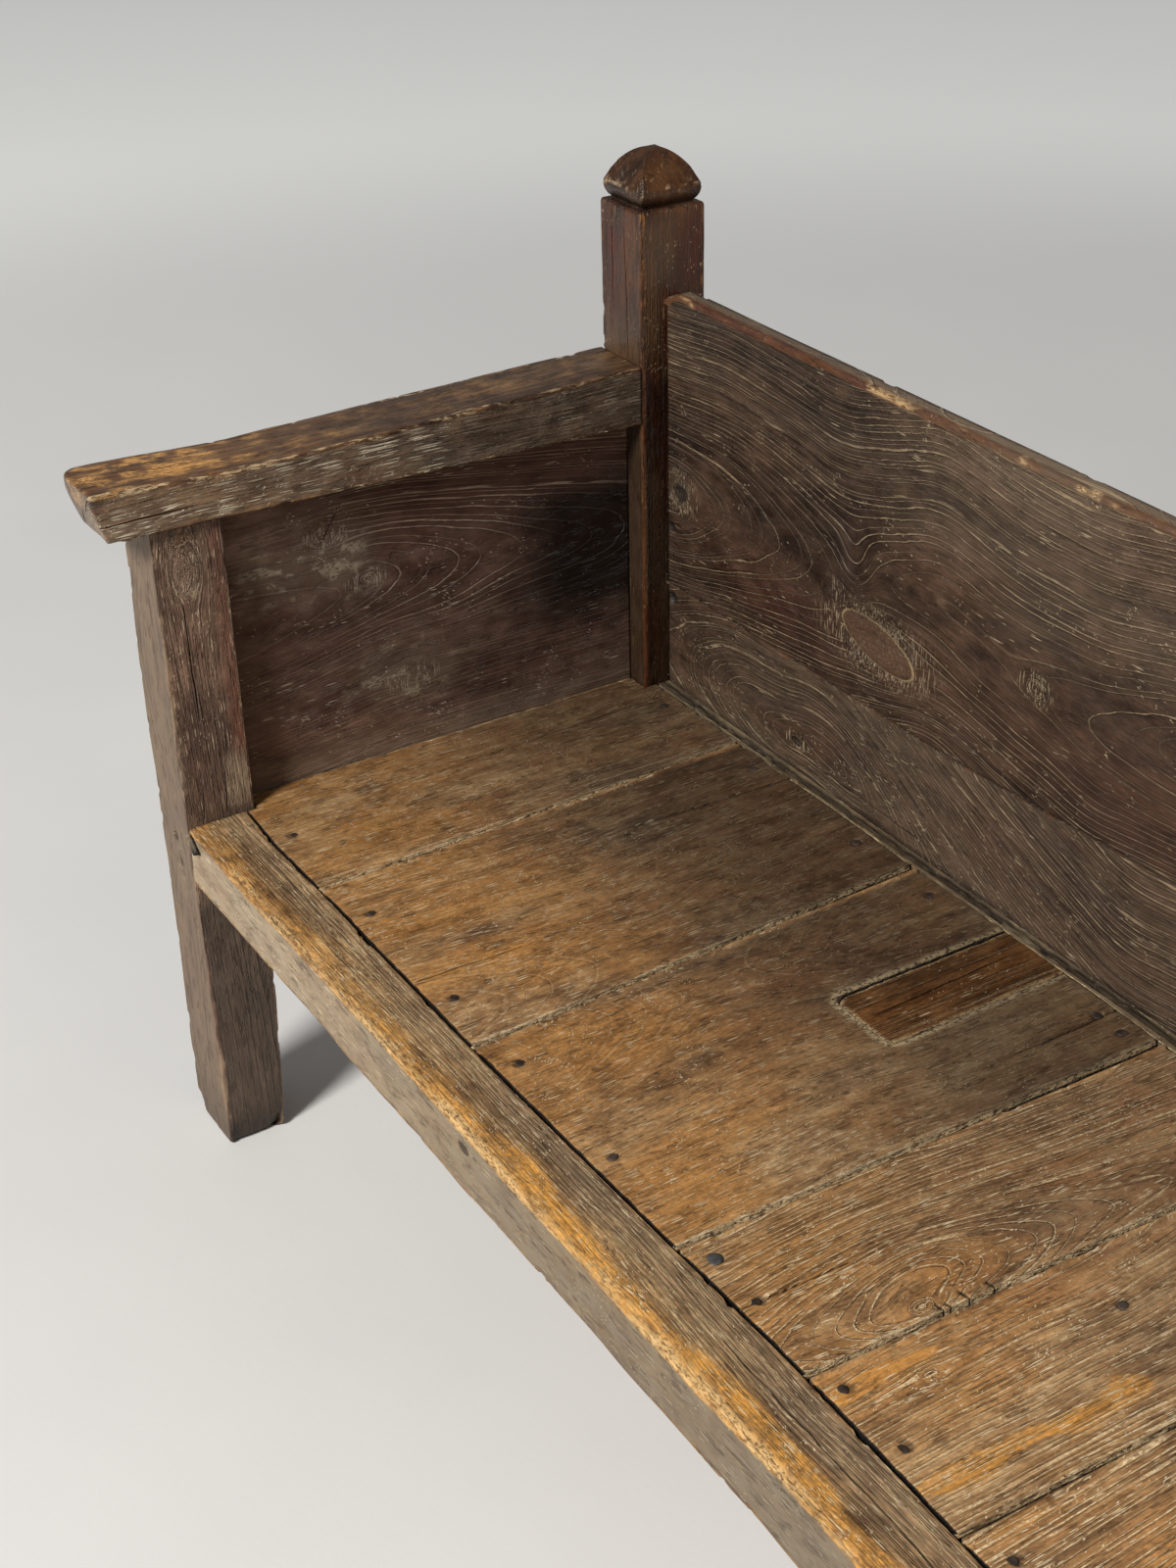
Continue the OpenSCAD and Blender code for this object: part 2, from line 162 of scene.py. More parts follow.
# Every wooden piece is one sweep along its grain: s runs along it, a and d are across and through.
# Its section's faces are counted from the first corner, and its dictionary may hold
#   radii, spacing: each corner's rounding, and how far apart the lines along each face are
#   glow, glowReach: how bright each corner is worn, and how far that reaches
#   relief: height, length and width of each wave in the surface; chips: their depth in the arrises
#   heart: where the tree's heart lies; bend: how far the fibres wander; bulges: centre, size and lift
#   knots, cracks: their faces, places and sizes

plainTimber = {
    "mirrored": False, "knots": [], "bulges": [], "cracks": [], "chips": 0, "glowReach": 3.5, "patchy": 0.8,
}
arcSteps = (0.0, 0.22, 0.5, 0.78, 1.0)  # the points round a corner
crackSteps = (-4.5, -2.2, -1.2, -0.6, -0.2, 0.2, 0.6, 1.2, 2.2, 4.5)  # the lines beside a crack
crackRoom = 5.5  # other lines keep this far from it
leastRadius = 0.4


def crackAlong(face, line, width, depth, fade=(40, 40), wander=1.2):
    # fade: the lengths over which its two ends close
    return {"face": face, "line": line, "width": width, "depth": depth, "fade": fade, "wander": wander}


def knotAt(at, size, dark=1, long=2.0, axis=0, faces=()):
    # at: its place along the grain and across it, or through it where the axis is 1
    return {"at": at, "size": size, "dark": dark, "long": long, "axis": axis, "faces": faces}


def endRows(at, direction, rounding, depth, step):
    # rows that round an end over and close it: place along the grain and inset
    rows = []
    for angle in np.radians((0, 22, 45, 68)):
        if rounding:
            place = at - direction * rounding * (1 - math.sin(angle))
            rows.append((place, rounding * (1 - math.cos(angle))))
    inset = rounding
    while inset < depth:
        rows.append((at, inset))
        inset += step
    rows.append((at, max(depth, rounding)))
    return rows


def rowsAlong(start, end, step, startEnd=(0, 0), endEnd=(0, 0), extra=()):
    # startEnd and endEnd: the ends' rounding, and how far in their rows close them
    capStep = step * 1.3
    first = endRows(start, -1, *startEnd, capStep)[::-1]
    last = endRows(end, 1, *endEnd, capStep)
    low, high = start + startEnd[0], end - endEnd[0]
    count = max(2, int(round((high - low) / step)))
    middle = [(s, 0.0) for s in np.linspace(low, high, count + 1)[1:-1]]
    middle = sorted(middle + [(s, 0.0) for s in extra])
    return np.array(first + middle + last)


def fourSided(lowA, highA, lowD, highD):
    return [(lowA, lowD), (highA, lowD), (highA, highD), (lowA, highD)]


def unit(v):
    return v / np.maximum(np.linalg.norm(v, axis=-1, keepdims=True), 1e-9)


def crackLine(crack, s, seed):
    line = np.interp(s, *np.array(crack["line"], float).T)
    wander = noiseAlong(s, 0 * s, 0 * s, (24, 1, 1), seed + 31) * crack["wander"]
    return line + wander


def crackStrength(crack, s):
    low, high = crack["line"][0][0], crack["line"][-1][0]
    fadeLow, fadeHigh = crack["fade"]
    return np.clip((s - low) / fadeLow, 0, 1) * np.clip((high - s) / fadeHigh, 0, 1)


def sectionCorners(rows, cornerAt):
    # the corners of the section at each row, moved in by the row's inset
    s, inset = rows[:, 0], rows[:, 1]
    ones = np.ones_like(s)
    corners = np.stack([np.stack([a * ones, d * ones], -1) for a, d in cornerAt(s)], 1)
    edge = unit(np.roll(corners, -1, 1) - corners)
    normal = np.stack([edge[..., 1], -edge[..., 0]], -1)
    before = np.roll(normal, 1, 1)
    mitre = (normal + before) / (1 + np.sum(normal * before, -1, keepdims=True))
    return corners - mitre * inset[:, None, None]


def roundCorners(corners, radii, rows):
    # for each corner: where its rounding starts, the corner itself, and where the rounding ends
    s, inset = rows[:, 0], rows[:, 1]
    arcs = []
    for k, radius in enumerate(radii):
        corner = corners[:, k]
        back, ahead = corners[:, k - 1] - corner, corners[:, (k + 1) % len(radii)] - corner
        room = 0.45 * np.minimum(np.linalg.norm(back, axis=-1), np.linalg.norm(ahead, axis=-1))
        radius = radius(s) if callable(radius) else radius * np.ones_like(s)
        radius = np.clip(radius - inset, leastRadius, np.maximum(room, 0.05))[:, None]
        arcs.append((corner + unit(back) * radius, corner, corner + unit(ahead) * radius))
    return arcs


def linesAcross(first, last, s, spacing, cracks, seed):
    # the lines along one flat face, as shares of its width; they crowd at a crack and follow it
    width = np.linalg.norm(last - first, axis=-1)
    typical = np.median(width)
    axis = 0 if abs(np.median(last[:, 0] - first[:, 0])) > typical * 0.7 else 1
    columns = list(np.linspace(0, 1, max(2, int(round(typical / spacing))) + 1)[1:-1])
    marks, places = [0.0], [0.0 * s]
    for crack in cracks:
        line = crackLine(crack, s, seed)
        share = np.clip((line - first[:, axis]) / (last[:, axis] - first[:, axis]), 0.02, 0.98)
        middle = float(np.median(share))
        marks.append(middle)
        places.append(share)
        columns = [u for u in columns if abs(u - middle) * typical > crackRoom]
        columns += [middle + step / typical for step in crackSteps]
    columns = sorted(u for u in columns if 0.004 < u < 0.996)
    order = np.argsort(marks)
    marks = [marks[i] for i in order] + [1.0]
    places = [places[i] for i in order] + [np.ones_like(s)]
    weights = np.eye(len(marks))
    shares = [sum(places[i] * np.interp(u, marks, weights[i]) for i in range(len(marks))) for u in columns]
    return shares, width, axis


def sweepRings(piece):
    # the points of every ring, each line's face and axis (-1 on a rounding), and its way to each corner
    rows, cracks, seed = piece["rows"], piece["cracks"], piece["seed"]
    s = rows[:, 0]
    corners = sectionCorners(rows, piece["corners"])
    arcs = roundCorners(corners, piece["radii"], rows)
    count = len(arcs)
    rings, faces, wearFrom = [], [], []
    for k, (arcStart, corner, arcEnd) in enumerate(arcs):
        for t in arcSteps:
            rings.append((1 - t) ** 2 * arcStart + 2 * t * (1 - t) * corner + t * t * arcEnd)
            faces.append((k, -1))
            wearFrom.append([0.0 * s if j == k else None for j in range(count)])
        stop = arcs[(k + 1) % count][0]
        own = [crack for crack in cracks if crack["face"] == k]
        shares, width, axis = linesAcross(arcEnd, stop, s, piece["spacing"][k], own, seed)
        for share in shares:
            rings.append(arcEnd + (stop - arcEnd) * share[:, None])
            faces.append((k, axis))
            reach = [None] * count
            reach[k] = share * width
            reach[(k + 1) % count] = (1 - share) * width
            wearFrom.append(reach)
    return np.stack(rings, 1), faces, wearFrom


# the dirt, shade and crust field: its shade darkens the colour, in places as painted shade, and below 0
# lightens it, in places as painted light
woodFields = {
    "figure": ("rings", "slope", "figured"), "marks": ("knot", "wear", "strokes"),
    "stain": ("gold", "red", "dust"), "grime": ("dirt", "shade", "crust"), "inlay": ("plug", "plug", "plug"),
}


def ringSlope(rings, place):
    # how fast the ring distance changes over the surface, so that ring lines keep one thickness
    total = 0
    for axis in (0, 1):
        step = np.linalg.norm(np.gradient(place, axis=axis), axis=-1)
        total = total + (np.gradient(rings, axis=axis) / np.maximum(step, 0.2)) ** 2
    return np.clip(np.sqrt(total), 0.03, 1.3)


def grainFlow(piece, s, a, d, faceOf):
    # the fibres wander, bulge here and there, and part around each knot like water around a stone
    seed = piece["seed"]
    wander = noiseAlong(s, 0 * a, 0 * d, (190, 1, 1), seed + 41)
    sway = piece["bend"] * (wander + 0.25 * noiseAlong(s, a, d, (60, 30, 30), seed + 42))
    flow, turns, knotted = [a + sway, d + sway], np.zeros(a.shape), np.zeros(a.shape)
    for knot in piece["knots"]:
        axis, size = knot["axis"], knot["size"]
        mask = np.isin(faceOf, knot["faces"]) if knot["faces"] else 1.0
        offset = (a, d)[axis] - knot["at"][1]
        away = np.hypot((s - knot["at"][0]) / (knot["long"] * size), offset / size)
        flow[axis] = flow[axis] - mask * (away > 1) * offset / np.maximum(away, 1) ** 2
        turns += mask * 1.5 * size * np.clip(1 - away, 0, 1)
        knotted = np.maximum(knotted, mask * knot["dark"] * np.clip(2.2 - away, 0, 2.2))
    for centre, size, lift in piece["bulges"]:
        flow[0] = flow[0] - lift * spot(s, a, centre, size)
    return flow, turns, knotted


def wornArrises(piece, reach, s, a, d):
    # rubbed bright along the corners, in patches
    wear = np.zeros(s.shape)
    for j, distances in enumerate(reach):
        for away, glow in zip(distances, piece["glow"]):
            if away is not None and glow:
                wear[:, j] = np.maximum(wear[:, j], glow * np.exp(-away / piece["glowReach"]))
    seed, patchy = piece["seed"], piece["patchy"]
    luck = noiseAlong(s, a, d, (75, 40, 40), seed + 61) + 0.6 * noiseAlong(s, a, d, (19, 12, 12), seed + 62)
    return wear * (1 - patchy + patchy * between(luck, -0.3, 0.45))


def hewnSurface(piece, s, a, d):
    # hewn waves, raised grain and grit, always cut into the timber
    sink = np.zeros(s.shape)
    for i, (height, along, across) in enumerate(piece["relief"]):
        wave = noiseAlong(s, a, d, (along, across, across), piece["seed"] + 11 * i)
        sink += height * 0.5 * (1 - wave)
    return sink


def chippedArrises(piece, s, a, d, wear, faces):
    seed = piece["seed"]
    arris = np.array([1.0 if axis < 0 else 0.0 for _, axis in faces])
    chance = noiseAlong(s, a, d, (19, 9, 9), seed + 71) + 0.5 * noiseAlong(s, a, d, (7, 5, 5), seed + 72)
    return between(chance, 0.35, 0.75) * np.maximum(arris[None, :], between(wear, 0.1, 0.5))


def cutCracks(piece, section, faces, sink, dirt):
    # each crack is cut into the lines that follow it, and filled with dirt
    along = piece["rows"][:, 0]
    for crack in piece["cracks"]:
        columns = [j for j, (face, axis) in enumerate(faces) if face == crack["face"] and axis >= 0]
        line = crackLine(crack, along, piece["seed"])[:, None]
        strength = crackStrength(crack, along)[:, None]
        away = np.abs(section[:, columns, faces[columns[0]][1]] - line)
        half = 0.5 * crack["width"] * strength + 0.02
        inside = np.clip(1.25 - away / (half + 0.25), 0, 1) * between(strength, 0.02, 0.3)
        sink[:, columns] += crack["depth"] * inside * np.minimum(1, strength + 0.25)
        dirt[:, columns] = np.maximum(dirt[:, columns], inside)


def growTimber(piece):
    piece = dict(plainTimber, **piece)
    section, faces, reach = sweepRings(piece)
    shape = section.shape[:2]
    s = np.repeat(piece["rows"][:, :1], shape[1], 1)
    a, d = section[..., 0], section[..., 1]
    tangent = unit(np.roll(section, -1, 1) - np.roll(section, 1, 1))
    outA, outD = tangent[..., 1], -tangent[..., 0]
    faceOf = np.array([face for face, axis in faces])[None, :] * np.ones(shape)
    flat = np.array([axis >= 0 for face, axis in faces])[None, :] * np.ones(shape)

    state = {name: np.zeros(shape) for name in ("dirt", "dust", "gold", "red", "crust", "plug", "shade")}
    state.update(figured=np.ones(shape), strokes=np.ones(shape), wear=wornArrises(piece, reach, s, a, d))
    sink = hewnSurface(piece, s, a, d)
    if piece["chips"]:
        chipped = chippedArrises(piece, s, a, d, state["wear"], faces)
        sink += piece["chips"] * chipped
        state["wear"] += 0.35 * chipped
    flow, turns, state["knot"] = grainFlow(piece, s, a, d, faceOf)
    heartA, heartD = (place(s) if callable(place) else place for place in piece["heart"])
    rings = np.hypot(flow[0] - heartA, flow[1] - heartD) + turns
    cutCracks(piece, section, faces, sink, state["dirt"])
    where = {"s": s, "a": a, "d": d, "face": faceOf, "flat": flat}
    for name, value in piece["zones"](where, piece["seed"]).items():
        if name == "sink":
            sink = sink + value
        elif name == "unworn":
            state["wear"] = state["wear"] * (1 - value)
        elif name in ("shade", "figured", "strokes"):
            state[name] = value + 0 * s
        else:
            state[name] = np.maximum(state[name], value)
    state.update(rings=rings / metre, slope=ringSlope(rings, np.stack([s, a, d], -1)))

    along = s + piece["shift"](s, a, d) if "shift" in piece else s
    a, d = a - outA * sink, d - outD * sink
    if "clamp" in piece:
        a, d = piece["clamp"](s, a, d)
    offset = np.array([0.37, 0.71, 0.53]) * piece["seed"]  # no two pieces share their grain
    fields = {field: np.stack([state[name] for name in names], -1) for field, names in woodFields.items()}
    fields["grain"] = np.stack((s, *flow), -1) / metre + offset
    points, polygons = closeSweep(piece, along, a, d)
    makePiece(piece, points, polygons, fields)


def closeSweep(piece, along, a, d):
    # the rings become a closed skin, with the piece's own axes
    order = piece["axes"]
    points = np.zeros(a.shape + (3,))
    for axis, values in zip(order, (along, a, d)):
        points[..., "xyz".index(axis)] = values
    righthanded = order in ("xyz", "yzx", "zxy")
    if piece["mirrored"]:
        points[..., 0] = rightX - points[..., 0]
        righthanded = not righthanded
    count, ring = a.shape
    i = np.arange(count - 1)[:, None] * ring
    j = np.arange(ring)[None, :]
    j2 = (j + 1) % ring
    quads = np.stack([i + j, i + j2, i + ring + j2, i + ring + j], -1).reshape(-1, 4)
    startCap, endCap = np.arange(ring)[::-1], (count - 1) * ring + np.arange(ring)
    if not righthanded:
        quads, startCap, endCap = quads[:, ::-1], startCap[::-1], endCap[::-1]
    return points.reshape(-1, 3), quads.tolist() + [startCap.tolist(), endCap.tolist()]


def makePiece(piece, points, polygons, fields):
    mesh = bpy.data.meshes.new(piece["name"])
    mesh.from_pydata(((points + drawingOrigin) / metre).tolist(), [], polygons)
    mesh.polygons.foreach_set("use_smooth", np.ones(len(mesh.polygons), bool))
    for field, values in fields.items():
        layer = mesh.attributes.new(field, "FLOAT_VECTOR", "POINT")
        layer.data.foreach_set("vector", values.astype(np.float32).ravel())
    mesh.update()
    mesh.validate()
    thing = bpy.data.objects.new(piece["name"], mesh)
    bpy.context.scene.collection.objects.link(thing)
    mesh.materials.append(finishes[piece["finish"]])
    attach(thing, "root")
    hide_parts(piece["node"])


def paint(code):
    # a colour written as red, green and blue in hexadecimal, for a shader socket
    parts = [int(code[i:i + 2], 16) / 255 for i in (1, 3, 5)]
    return tuple(p / 12.92 if p <= 0.04045 else ((p + 0.055) / 1.055) ** 2.4 for p in parts) + (1.0,)


def connect(tree, node, links):
    # each input gets another node's output, or a value
    for key, value in links.items():
        if isinstance(value, bpy.types.NodeSocket):
            tree.links.new(value, node.inputs[key])
        else:
            node.inputs[key].default_value = value


def put(tree, kind, links=None, **settings):
    node = tree.nodes.new("ShaderNode" + kind)
    for name, value in settings.items():
        setattr(node, name, value)
    connect(tree, node, links or {})
    return node


def calc(tree, operation, *values):
    return put(tree, "Math", dict(enumerate(values)), operation=operation).outputs[0]


def spread(tree, value, low, high, newLow=0.0, newHigh=1.0):
    links = {"Value": value, "From Min": low, "From Max": high, "To Min": newLow, "To Max": newHigh}
    return put(tree, "MapRange", links, interpolation_type="SMOOTHSTEP").outputs[0]


def blendColour(tree, amount, under, over):
    return put(tree, "Mix", {0: amount, 6: under, 7: over}, data_type="RGBA").outputs[2]


def scaled(tree, vector, scale):
    return put(tree, "VectorMath", {0: vector, "Scale": scale}, operation="SCALE").outputs[0]


def noise(tree, vector, scale, detail=2.0, roughness=0.55, swirl=0.0, shift=0.0):
    # noise with its own fineness along, across and through the grain, in features per metre
    place = (shift, 1.7 * shift, 2.3 * shift)
    mapped = put(tree, "Mapping", {"Vector": vector, "Scale": scale, "Location": place}).outputs[0]
    links = {"Vector": mapped, "Scale": 1.0, "Detail": detail, "Roughness": roughness, "Distortion": swirl}
    return put(tree, "TexNoise", links).outputs["Fac"]


def roundNoise(tree, vector, scale, detail, roughness=0.5):
    links = {"Vector": vector, "Scale": scale, "Detail": detail, "Roughness": roughness}
    return put(tree, "TexNoise", links).outputs["Fac"]


def times(tree, *values):
    total = values[0]
    for value in values[1:]:
        total = calc(tree, "MULTIPLY", total, value)
    return total


def plus(tree, *values):
    total = values[0]
    for value in values[1:]:
        total = calc(tree, "ADD", total, value)
    return total


def less(tree, value, other):
    return calc(tree, "SUBTRACT", value, other)


def distanceTo(tree, value, middle):
    return calc(tree, "ABSOLUTE", less(tree, value, middle))


def apart(tree, vector):
    return put(tree, "SeparateXYZ", {0: vector}).outputs


def ridge(tree, value, width, middle=0.5):
    # a thin line wherever the value crosses its middle
    return spread(tree, distanceTo(tree, value, middle), 0.25 * width, width, 1.0, 0.0)


number, arrow = "NodeSocketFloat", "NodeSocketVector"


def makeGroup(name, outputs, **inputs):
    # each input is named with its usual value, and None stands for a vector
    tree = bpy.data.node_groups.new(name, "ShaderNodeTree")
    for label, value in inputs.items():
        kind = arrow if value is None else number
        socket = tree.interface.new_socket(label, in_out="INPUT", socket_type=kind)
        if value is not None:
            socket.default_value = value
    for label in outputs:
        tree.interface.new_socket(label, in_out="OUTPUT", socket_type=number)
    given, out = tree.nodes.new("NodeGroupInput").outputs, tree.nodes.new("NodeGroupOutput")
    return tree, given, lambda **results: connect(tree, out, results)


def growthRingGroup():
    # crisp, broken latewood lines of one thickness from the distance to the heart, each beside a dark valley
    tree, given, give = makeGroup(
        "growthRings", ["Line", "Valley", "Year"], Distance=0.0, Slope=1.0, Grain=None, Spacing=0.004,
        Width=0.001, Shake=0.3, Broken=0.9)
    grain, slope, spacing = given["Grain"], given["Slope"], given["Spacing"]
    whole = less(tree, 1.0, given["Broken"])
    years = calc(tree, "DIVIDE", given["Distance"], spacing)
    seasons = put(tree, "TexNoise", {"W": years, "Scale": 0.7, "Detail": 1.0}, noise_dimensions="1D")
    shaken = times(tree, noise(tree, grain, (75, 420, 420), 3.0, shift=3), given["Shake"])
    sway = plus(tree, noise(tree, grain, (8, 75, 75)), shaken)
    years = plus(tree, years, times(tree, seasons.outputs["Fac"], 1.5), times(tree, sway, slope))
    saw = calc(tree, "FRACT", years)
    share = calc(tree, "DIVIDE", times(tree, given["Width"], slope), spacing)
    share = calc(tree, "MINIMUM", calc(tree, "MAXIMUM", share, 0.03), 0.45)

    def band(offset):
        away = distanceTo(tree, saw, less(tree, 0.6, times(tree, share, offset)))
        return spread(tree, away, times(tree, share, 0.25), times(tree, share, 0.65), 1.0, 0.0)

    gate = spread(tree, noise(tree, grain, (24, 280, 280), 3.0, 0.6, shift=5), 0.38, 0.54, whole, 1.0)
    gate = times(tree, gate, spread(tree, slope, 0.05, 0.16, 0.15, 1.0))
    bead = noise(tree, grain, (230, 560, 560), shift=7)
    beads = spread(tree, bead, 0.34, 0.6, calc(tree, "ADD", whole, 0.2), 1.0)
    give(Line=times(tree, band(0.0), gate, beads), Valley=times(tree, band(1.1), gate),
         Year=spread(tree, saw, 0.0, 0.9))
    return tree


def fibreGroup():
    # fine fibres along the grain, longer streaks, and thin dark drying checks
    tree, given, give = makeGroup("woodFibres", ["Fibre", "Streak", "Check"], Grain=None, Fineness=1.0)
    grain = scaled(tree, given["Grain"], given["Fineness"])
    line = ridge(tree, noise(tree, grain, (17, 240, 240), 2.0, shift=5), 0.04)
    gate = spread(tree, noise(tree, grain, (34, 80, 80), shift=9), 0.5, 0.58)
    give(Fibre=noise(tree, grain, (48, 640, 640), 3.0, 0.65),
         Streak=noise(tree, grain, (9, 150, 150), 3.0, 0.62, 0.3, shift=2), Check=times(tree, line, gate))
    return tree


def strokeGroup():
    # short straight pale strokes along the grain, of two sizes, in loose crowds
    tree, given, give = makeGroup("paleStrokes", ["Stroke"], Grain=None, Amount=0.5, Length=1.0)
    grain = given["Grain"]
    fineness = calc(tree, "DIVIDE", 1.0, given["Length"])
    shorten = put(tree, "CombineXYZ", {0: fineness, 1: 1.0, 2: 1.0}).outputs[0]
    place = put(tree, "VectorMath", {0: grain, 1: shorten}, operation="MULTIPLY").outputs[0]
    crowd = times(tree, noise(tree, grain, (10, 24, 24), 1.0, shift=15), 0.6)
    start = less(tree, 1.3, times(tree, given["Amount"], 0.5))
    total = 0.0
    for shift, scale in ((11, (40, 470, 470)), (17, (75, 650, 650))):
        mapped = put(tree, "Mapping", {"Vector": place, "Scale": scale, "Location": (shift,) * 3}).outputs[0]
        cells = put(tree, "TexVoronoi", {"Vector": mapped, "Scale": 1.0}).outputs
        luck = plus(tree, apart(tree, cells["Color"])[0], crowd)
        chosen = spread(tree, luck, start, calc(tree, "ADD", start, 0.05))
        dash = spread(tree, cells["Distance"], 0.2, 0.36, 1.0, 0.0)
        total = calc(tree, "MAXIMUM", total, times(tree, dash, chosen))
    give(Stroke=total)
    return tree


def stainGroup():
    # broad clouds of tone, blotches within them, and fine specks
    tree, given, give = makeGroup("oldStains", ["Cloud", "Blotch", "Speck"], Grain=None, Size=1.0)
    grain = scaled(tree, given["Grain"], given["Size"])
    give(Cloud=noise(tree, grain, (5, 12, 12), 3.0, 0.55, 0.5),
         Blotch=noise(tree, grain, (30, 58, 58), 4.0, 0.62, shift=4),
         Speck=noise(tree, grain, (190, 330, 330), 3.0, 0.65, shift=8))
    return tree


def edgeWearGroup():
    # breaks a smooth mask up into ragged wear
    tree, given, give = makeGroup("edgeWear", ["Worn"], Mask=0.0, Grain=None, Breakup=1.0)
    rough = noise(tree, given["Grain"], (80, 280, 280), 4.0, 0.7, shift=6)
    mask = plus(tree, given["Mask"], times(tree, less(tree, rough, 0.5), given["Breakup"], 2.2))
    give(Worn=times(tree, spread(tree, mask, 0.3, 0.55), spread(tree, given["Mask"], 0.03, 0.25)))
    return tree


ringTree, fibreTree, strokeTree = growthRingGroup(), fibreGroup(), strokeGroup()
stainTree, wearTree = stainGroup(), edgeWearGroup()


def useGroup(tree, group, **links):
    node = tree.nodes.new("ShaderNodeGroup")
    node.node_tree = group
    connect(tree, node, links)
    return node.outputs


def readField(tree, name):
    return put(tree, "Attribute", attribute_name=name, attribute_type="GEOMETRY").outputs["Vector"]


def readTimber(tree, look):
    # what the mesh says of its grain, wear and stains, and the effects worked out from that
    grain = readField(tree, "grain")
    wood = {"grain": grain}
    for field in ("figure", "marks", "stain", "grime"):
        wood.update(zip(woodFields[field], apart(tree, readField(tree, field))))
    figure = useGroup(tree, ringTree, Distance=wood["rings"], Slope=wood["slope"], Grain=grain,
                      Shake=look["ringShake"], Spacing=look["ringSpacing"], Width=look["ringWidth"],
                      Broken=look["ringBroken"])
    fibres = useGroup(tree, fibreTree, Grain=grain, Fineness=look["fineness"])
    stains = useGroup(tree, stainTree, Grain=grain, Size=look["stainSize"])
    for outputs in (figure, fibres, stains):
        wood.update((output.name, output) for output in outputs)
    wood["worn"] = useGroup(tree, wearTree, Mask=wood["wear"], Grain=grain, Breakup=look["breakup"])["Worn"]

    leaning = put(tree, "VectorRotate", {"Vector": grain, "Axis": (0, 0.7, 0.7), "Angle": 0.55}).outputs[0]
    along, across, through = apart(tree, grain)
    crossed = put(tree, "CombineXYZ", {0: across, 1: along, 2: through}).outputs[0]
    strokes, scratches, tufts = (
        useGroup(tree, strokeTree, Grain=way, Amount=amount, Length=length)["Stroke"]
        for way, amount, length in ((grain, look["strokes"], look["strokeLength"]),
                                    (leaning, look["scratches"], 1.5), (crossed, 1.7, 0.6)))
    tufts = times(tree, tufts, spread(tree, wood["knot"], 0.1, 0.6), look["tufts"])
    dashes = times(tree, calc(tree, "MAXIMUM", strokes, scratches), wood["strokes"])
    wood["pale"] = calc(tree, "MAXIMUM", dashes, tufts)
    wood["crumbs"] = spread(tree, wood["Speck"], 0.36, 0.5)
    return wood


def timberColour(tree, look, wood):
    def mixed(first, second, share):
        return plus(tree, times(tree, wood[first], share), times(tree, wood[second], 1 - share))

    def lay(amount, over):
        nonlocal colour
        colour = blendColour(tree, amount, colour, paint(over))

    soft = look["softness"]
    base = mixed("Cloud", "Blotch", 0.5)
    mottle = spread(tree, mixed("Blotch", "Speck", 0.6), 0.4, 0.58, 0.15 + 0.6 * soft, 1.0)
    film = spread(tree, mixed("Blotch", "Fibre", 0.5), 0.4, 0.58, 0.4 + 0.4 * soft, 1.0)
    colour = paint(look["dark"])
    lay(spread(tree, base, 0.4 - 0.04 * soft, 0.54), look["middle"])
    lay(times(tree, spread(tree, base, 0.5, 0.64), 0.9), look["light"])
    for stain in ("gold", "red"):
        lay(times(tree, wood[stain], mottle, look[stain]), look[stain + "Colour"])
    tone = times(tree, *(spread(tree, wood[name], 0.32, 0.68, 1 - look[name.lower()], 1 + look[name.lower()])
                         for name in ("Fibre", "Streak", "Speck")))
    tone = times(tree, tone, spread(tree, wood["Year"], 0.0, 1.0, 1 + look["year"], 1 - look["year"]))
    tone = times(tree, tone, less(tree, 1.0, times(tree, wood["Valley"], wood["figured"], look["valley"])))
    colour = scaled(tree, colour, tone)
    lay(times(tree, wood["dust"], film, look["dust"]), look["dustColour"])
    lay(times(tree, wood["Line"], wood["figured"], look["ring"]), look["ringColour"])
    lay(times(tree, wood["Check"], look["check"]), look["checkColour"])
    lay(times(tree, wood["pale"], look["stroke"]), look["strokeColour"])
    lay(times(tree, wood["worn"], look["worn"]), look["wornColour"])
    lay(times(tree, wood["crust"], wood["crumbs"], 0.85), look["crustColour"])
    lay(times(tree, wood["crust"], less(tree, 1.0, wood["crumbs"]), 0.4), look["pitColour"])
    lay(times(tree, spread(tree, wood["knot"], 1.1, 1.35), 0.8), look["knotColour"])
    if "plugColour" in look:
        plug = apart(tree, readField(tree, "inlay"))[0]
        lined = spread(tree, wood["Fibre"], 0.38, 0.6, 0.6, 1.0)
        lay(times(tree, spread(tree, plug, 1.18, 1.22), lined), look["plugColour"])
        lay(times(tree, ridge(tree, plug, 0.04, 1.21), mottle), look["plugEdge"])
    # the shade value darkens the colour and, below 0, lightens it: painted shade and painted light in some
    # places, the wood's own tone in others
    colour = scaled(tree, colour, less(tree, 1.0, times(tree, wood["shade"], 0.97)))
    lay(wood["dirt"], dirtColour)
    return colour


def timberGloss(tree, look, wood):
    # worn wood shines a little more, dusty and crusted wood less
    rough = look["roughness"]
    blotched = spread(tree, wood["Blotch"], 0.35, 0.65, rough - 0.08, rough + 0.08)
    fibres = times(tree, spread(tree, wood["Fibre"], 0.35, 0.65), 0.08)
    return plus(tree, blotched, fibres, *(times(tree, wood[name], share) for name, share in (
        ("dust", 0.12), ("crust", 0.2), ("worn", -0.1))))


def timberBump(tree, look, wood):
    lines = times(tree, less(tree, wood["Line"], wood["Valley"]), wood["figured"], look["ringBump"])
    heights = [("Fibre", look["fibreBump"]), ("Streak", look["streakBump"]), ("Blotch", 0.6),
               ("Speck", look["speckBump"]), ("pale", 0.3)]
    grit = times(tree, wood["crust"], wood["crumbs"], 1.2)
    cuts = [("Check", -0.8), ("dirt", -1.5)]
    height = plus(tree, lines, *(times(tree, wood[name], share) for name, share in heights), grit,
                  *(times(tree, wood[name], share) for name, share in cuts))
    return put(tree, "Bump", {"Height": height, "Strength": look["bump"], "Distance": 0.001}).outputs[0]


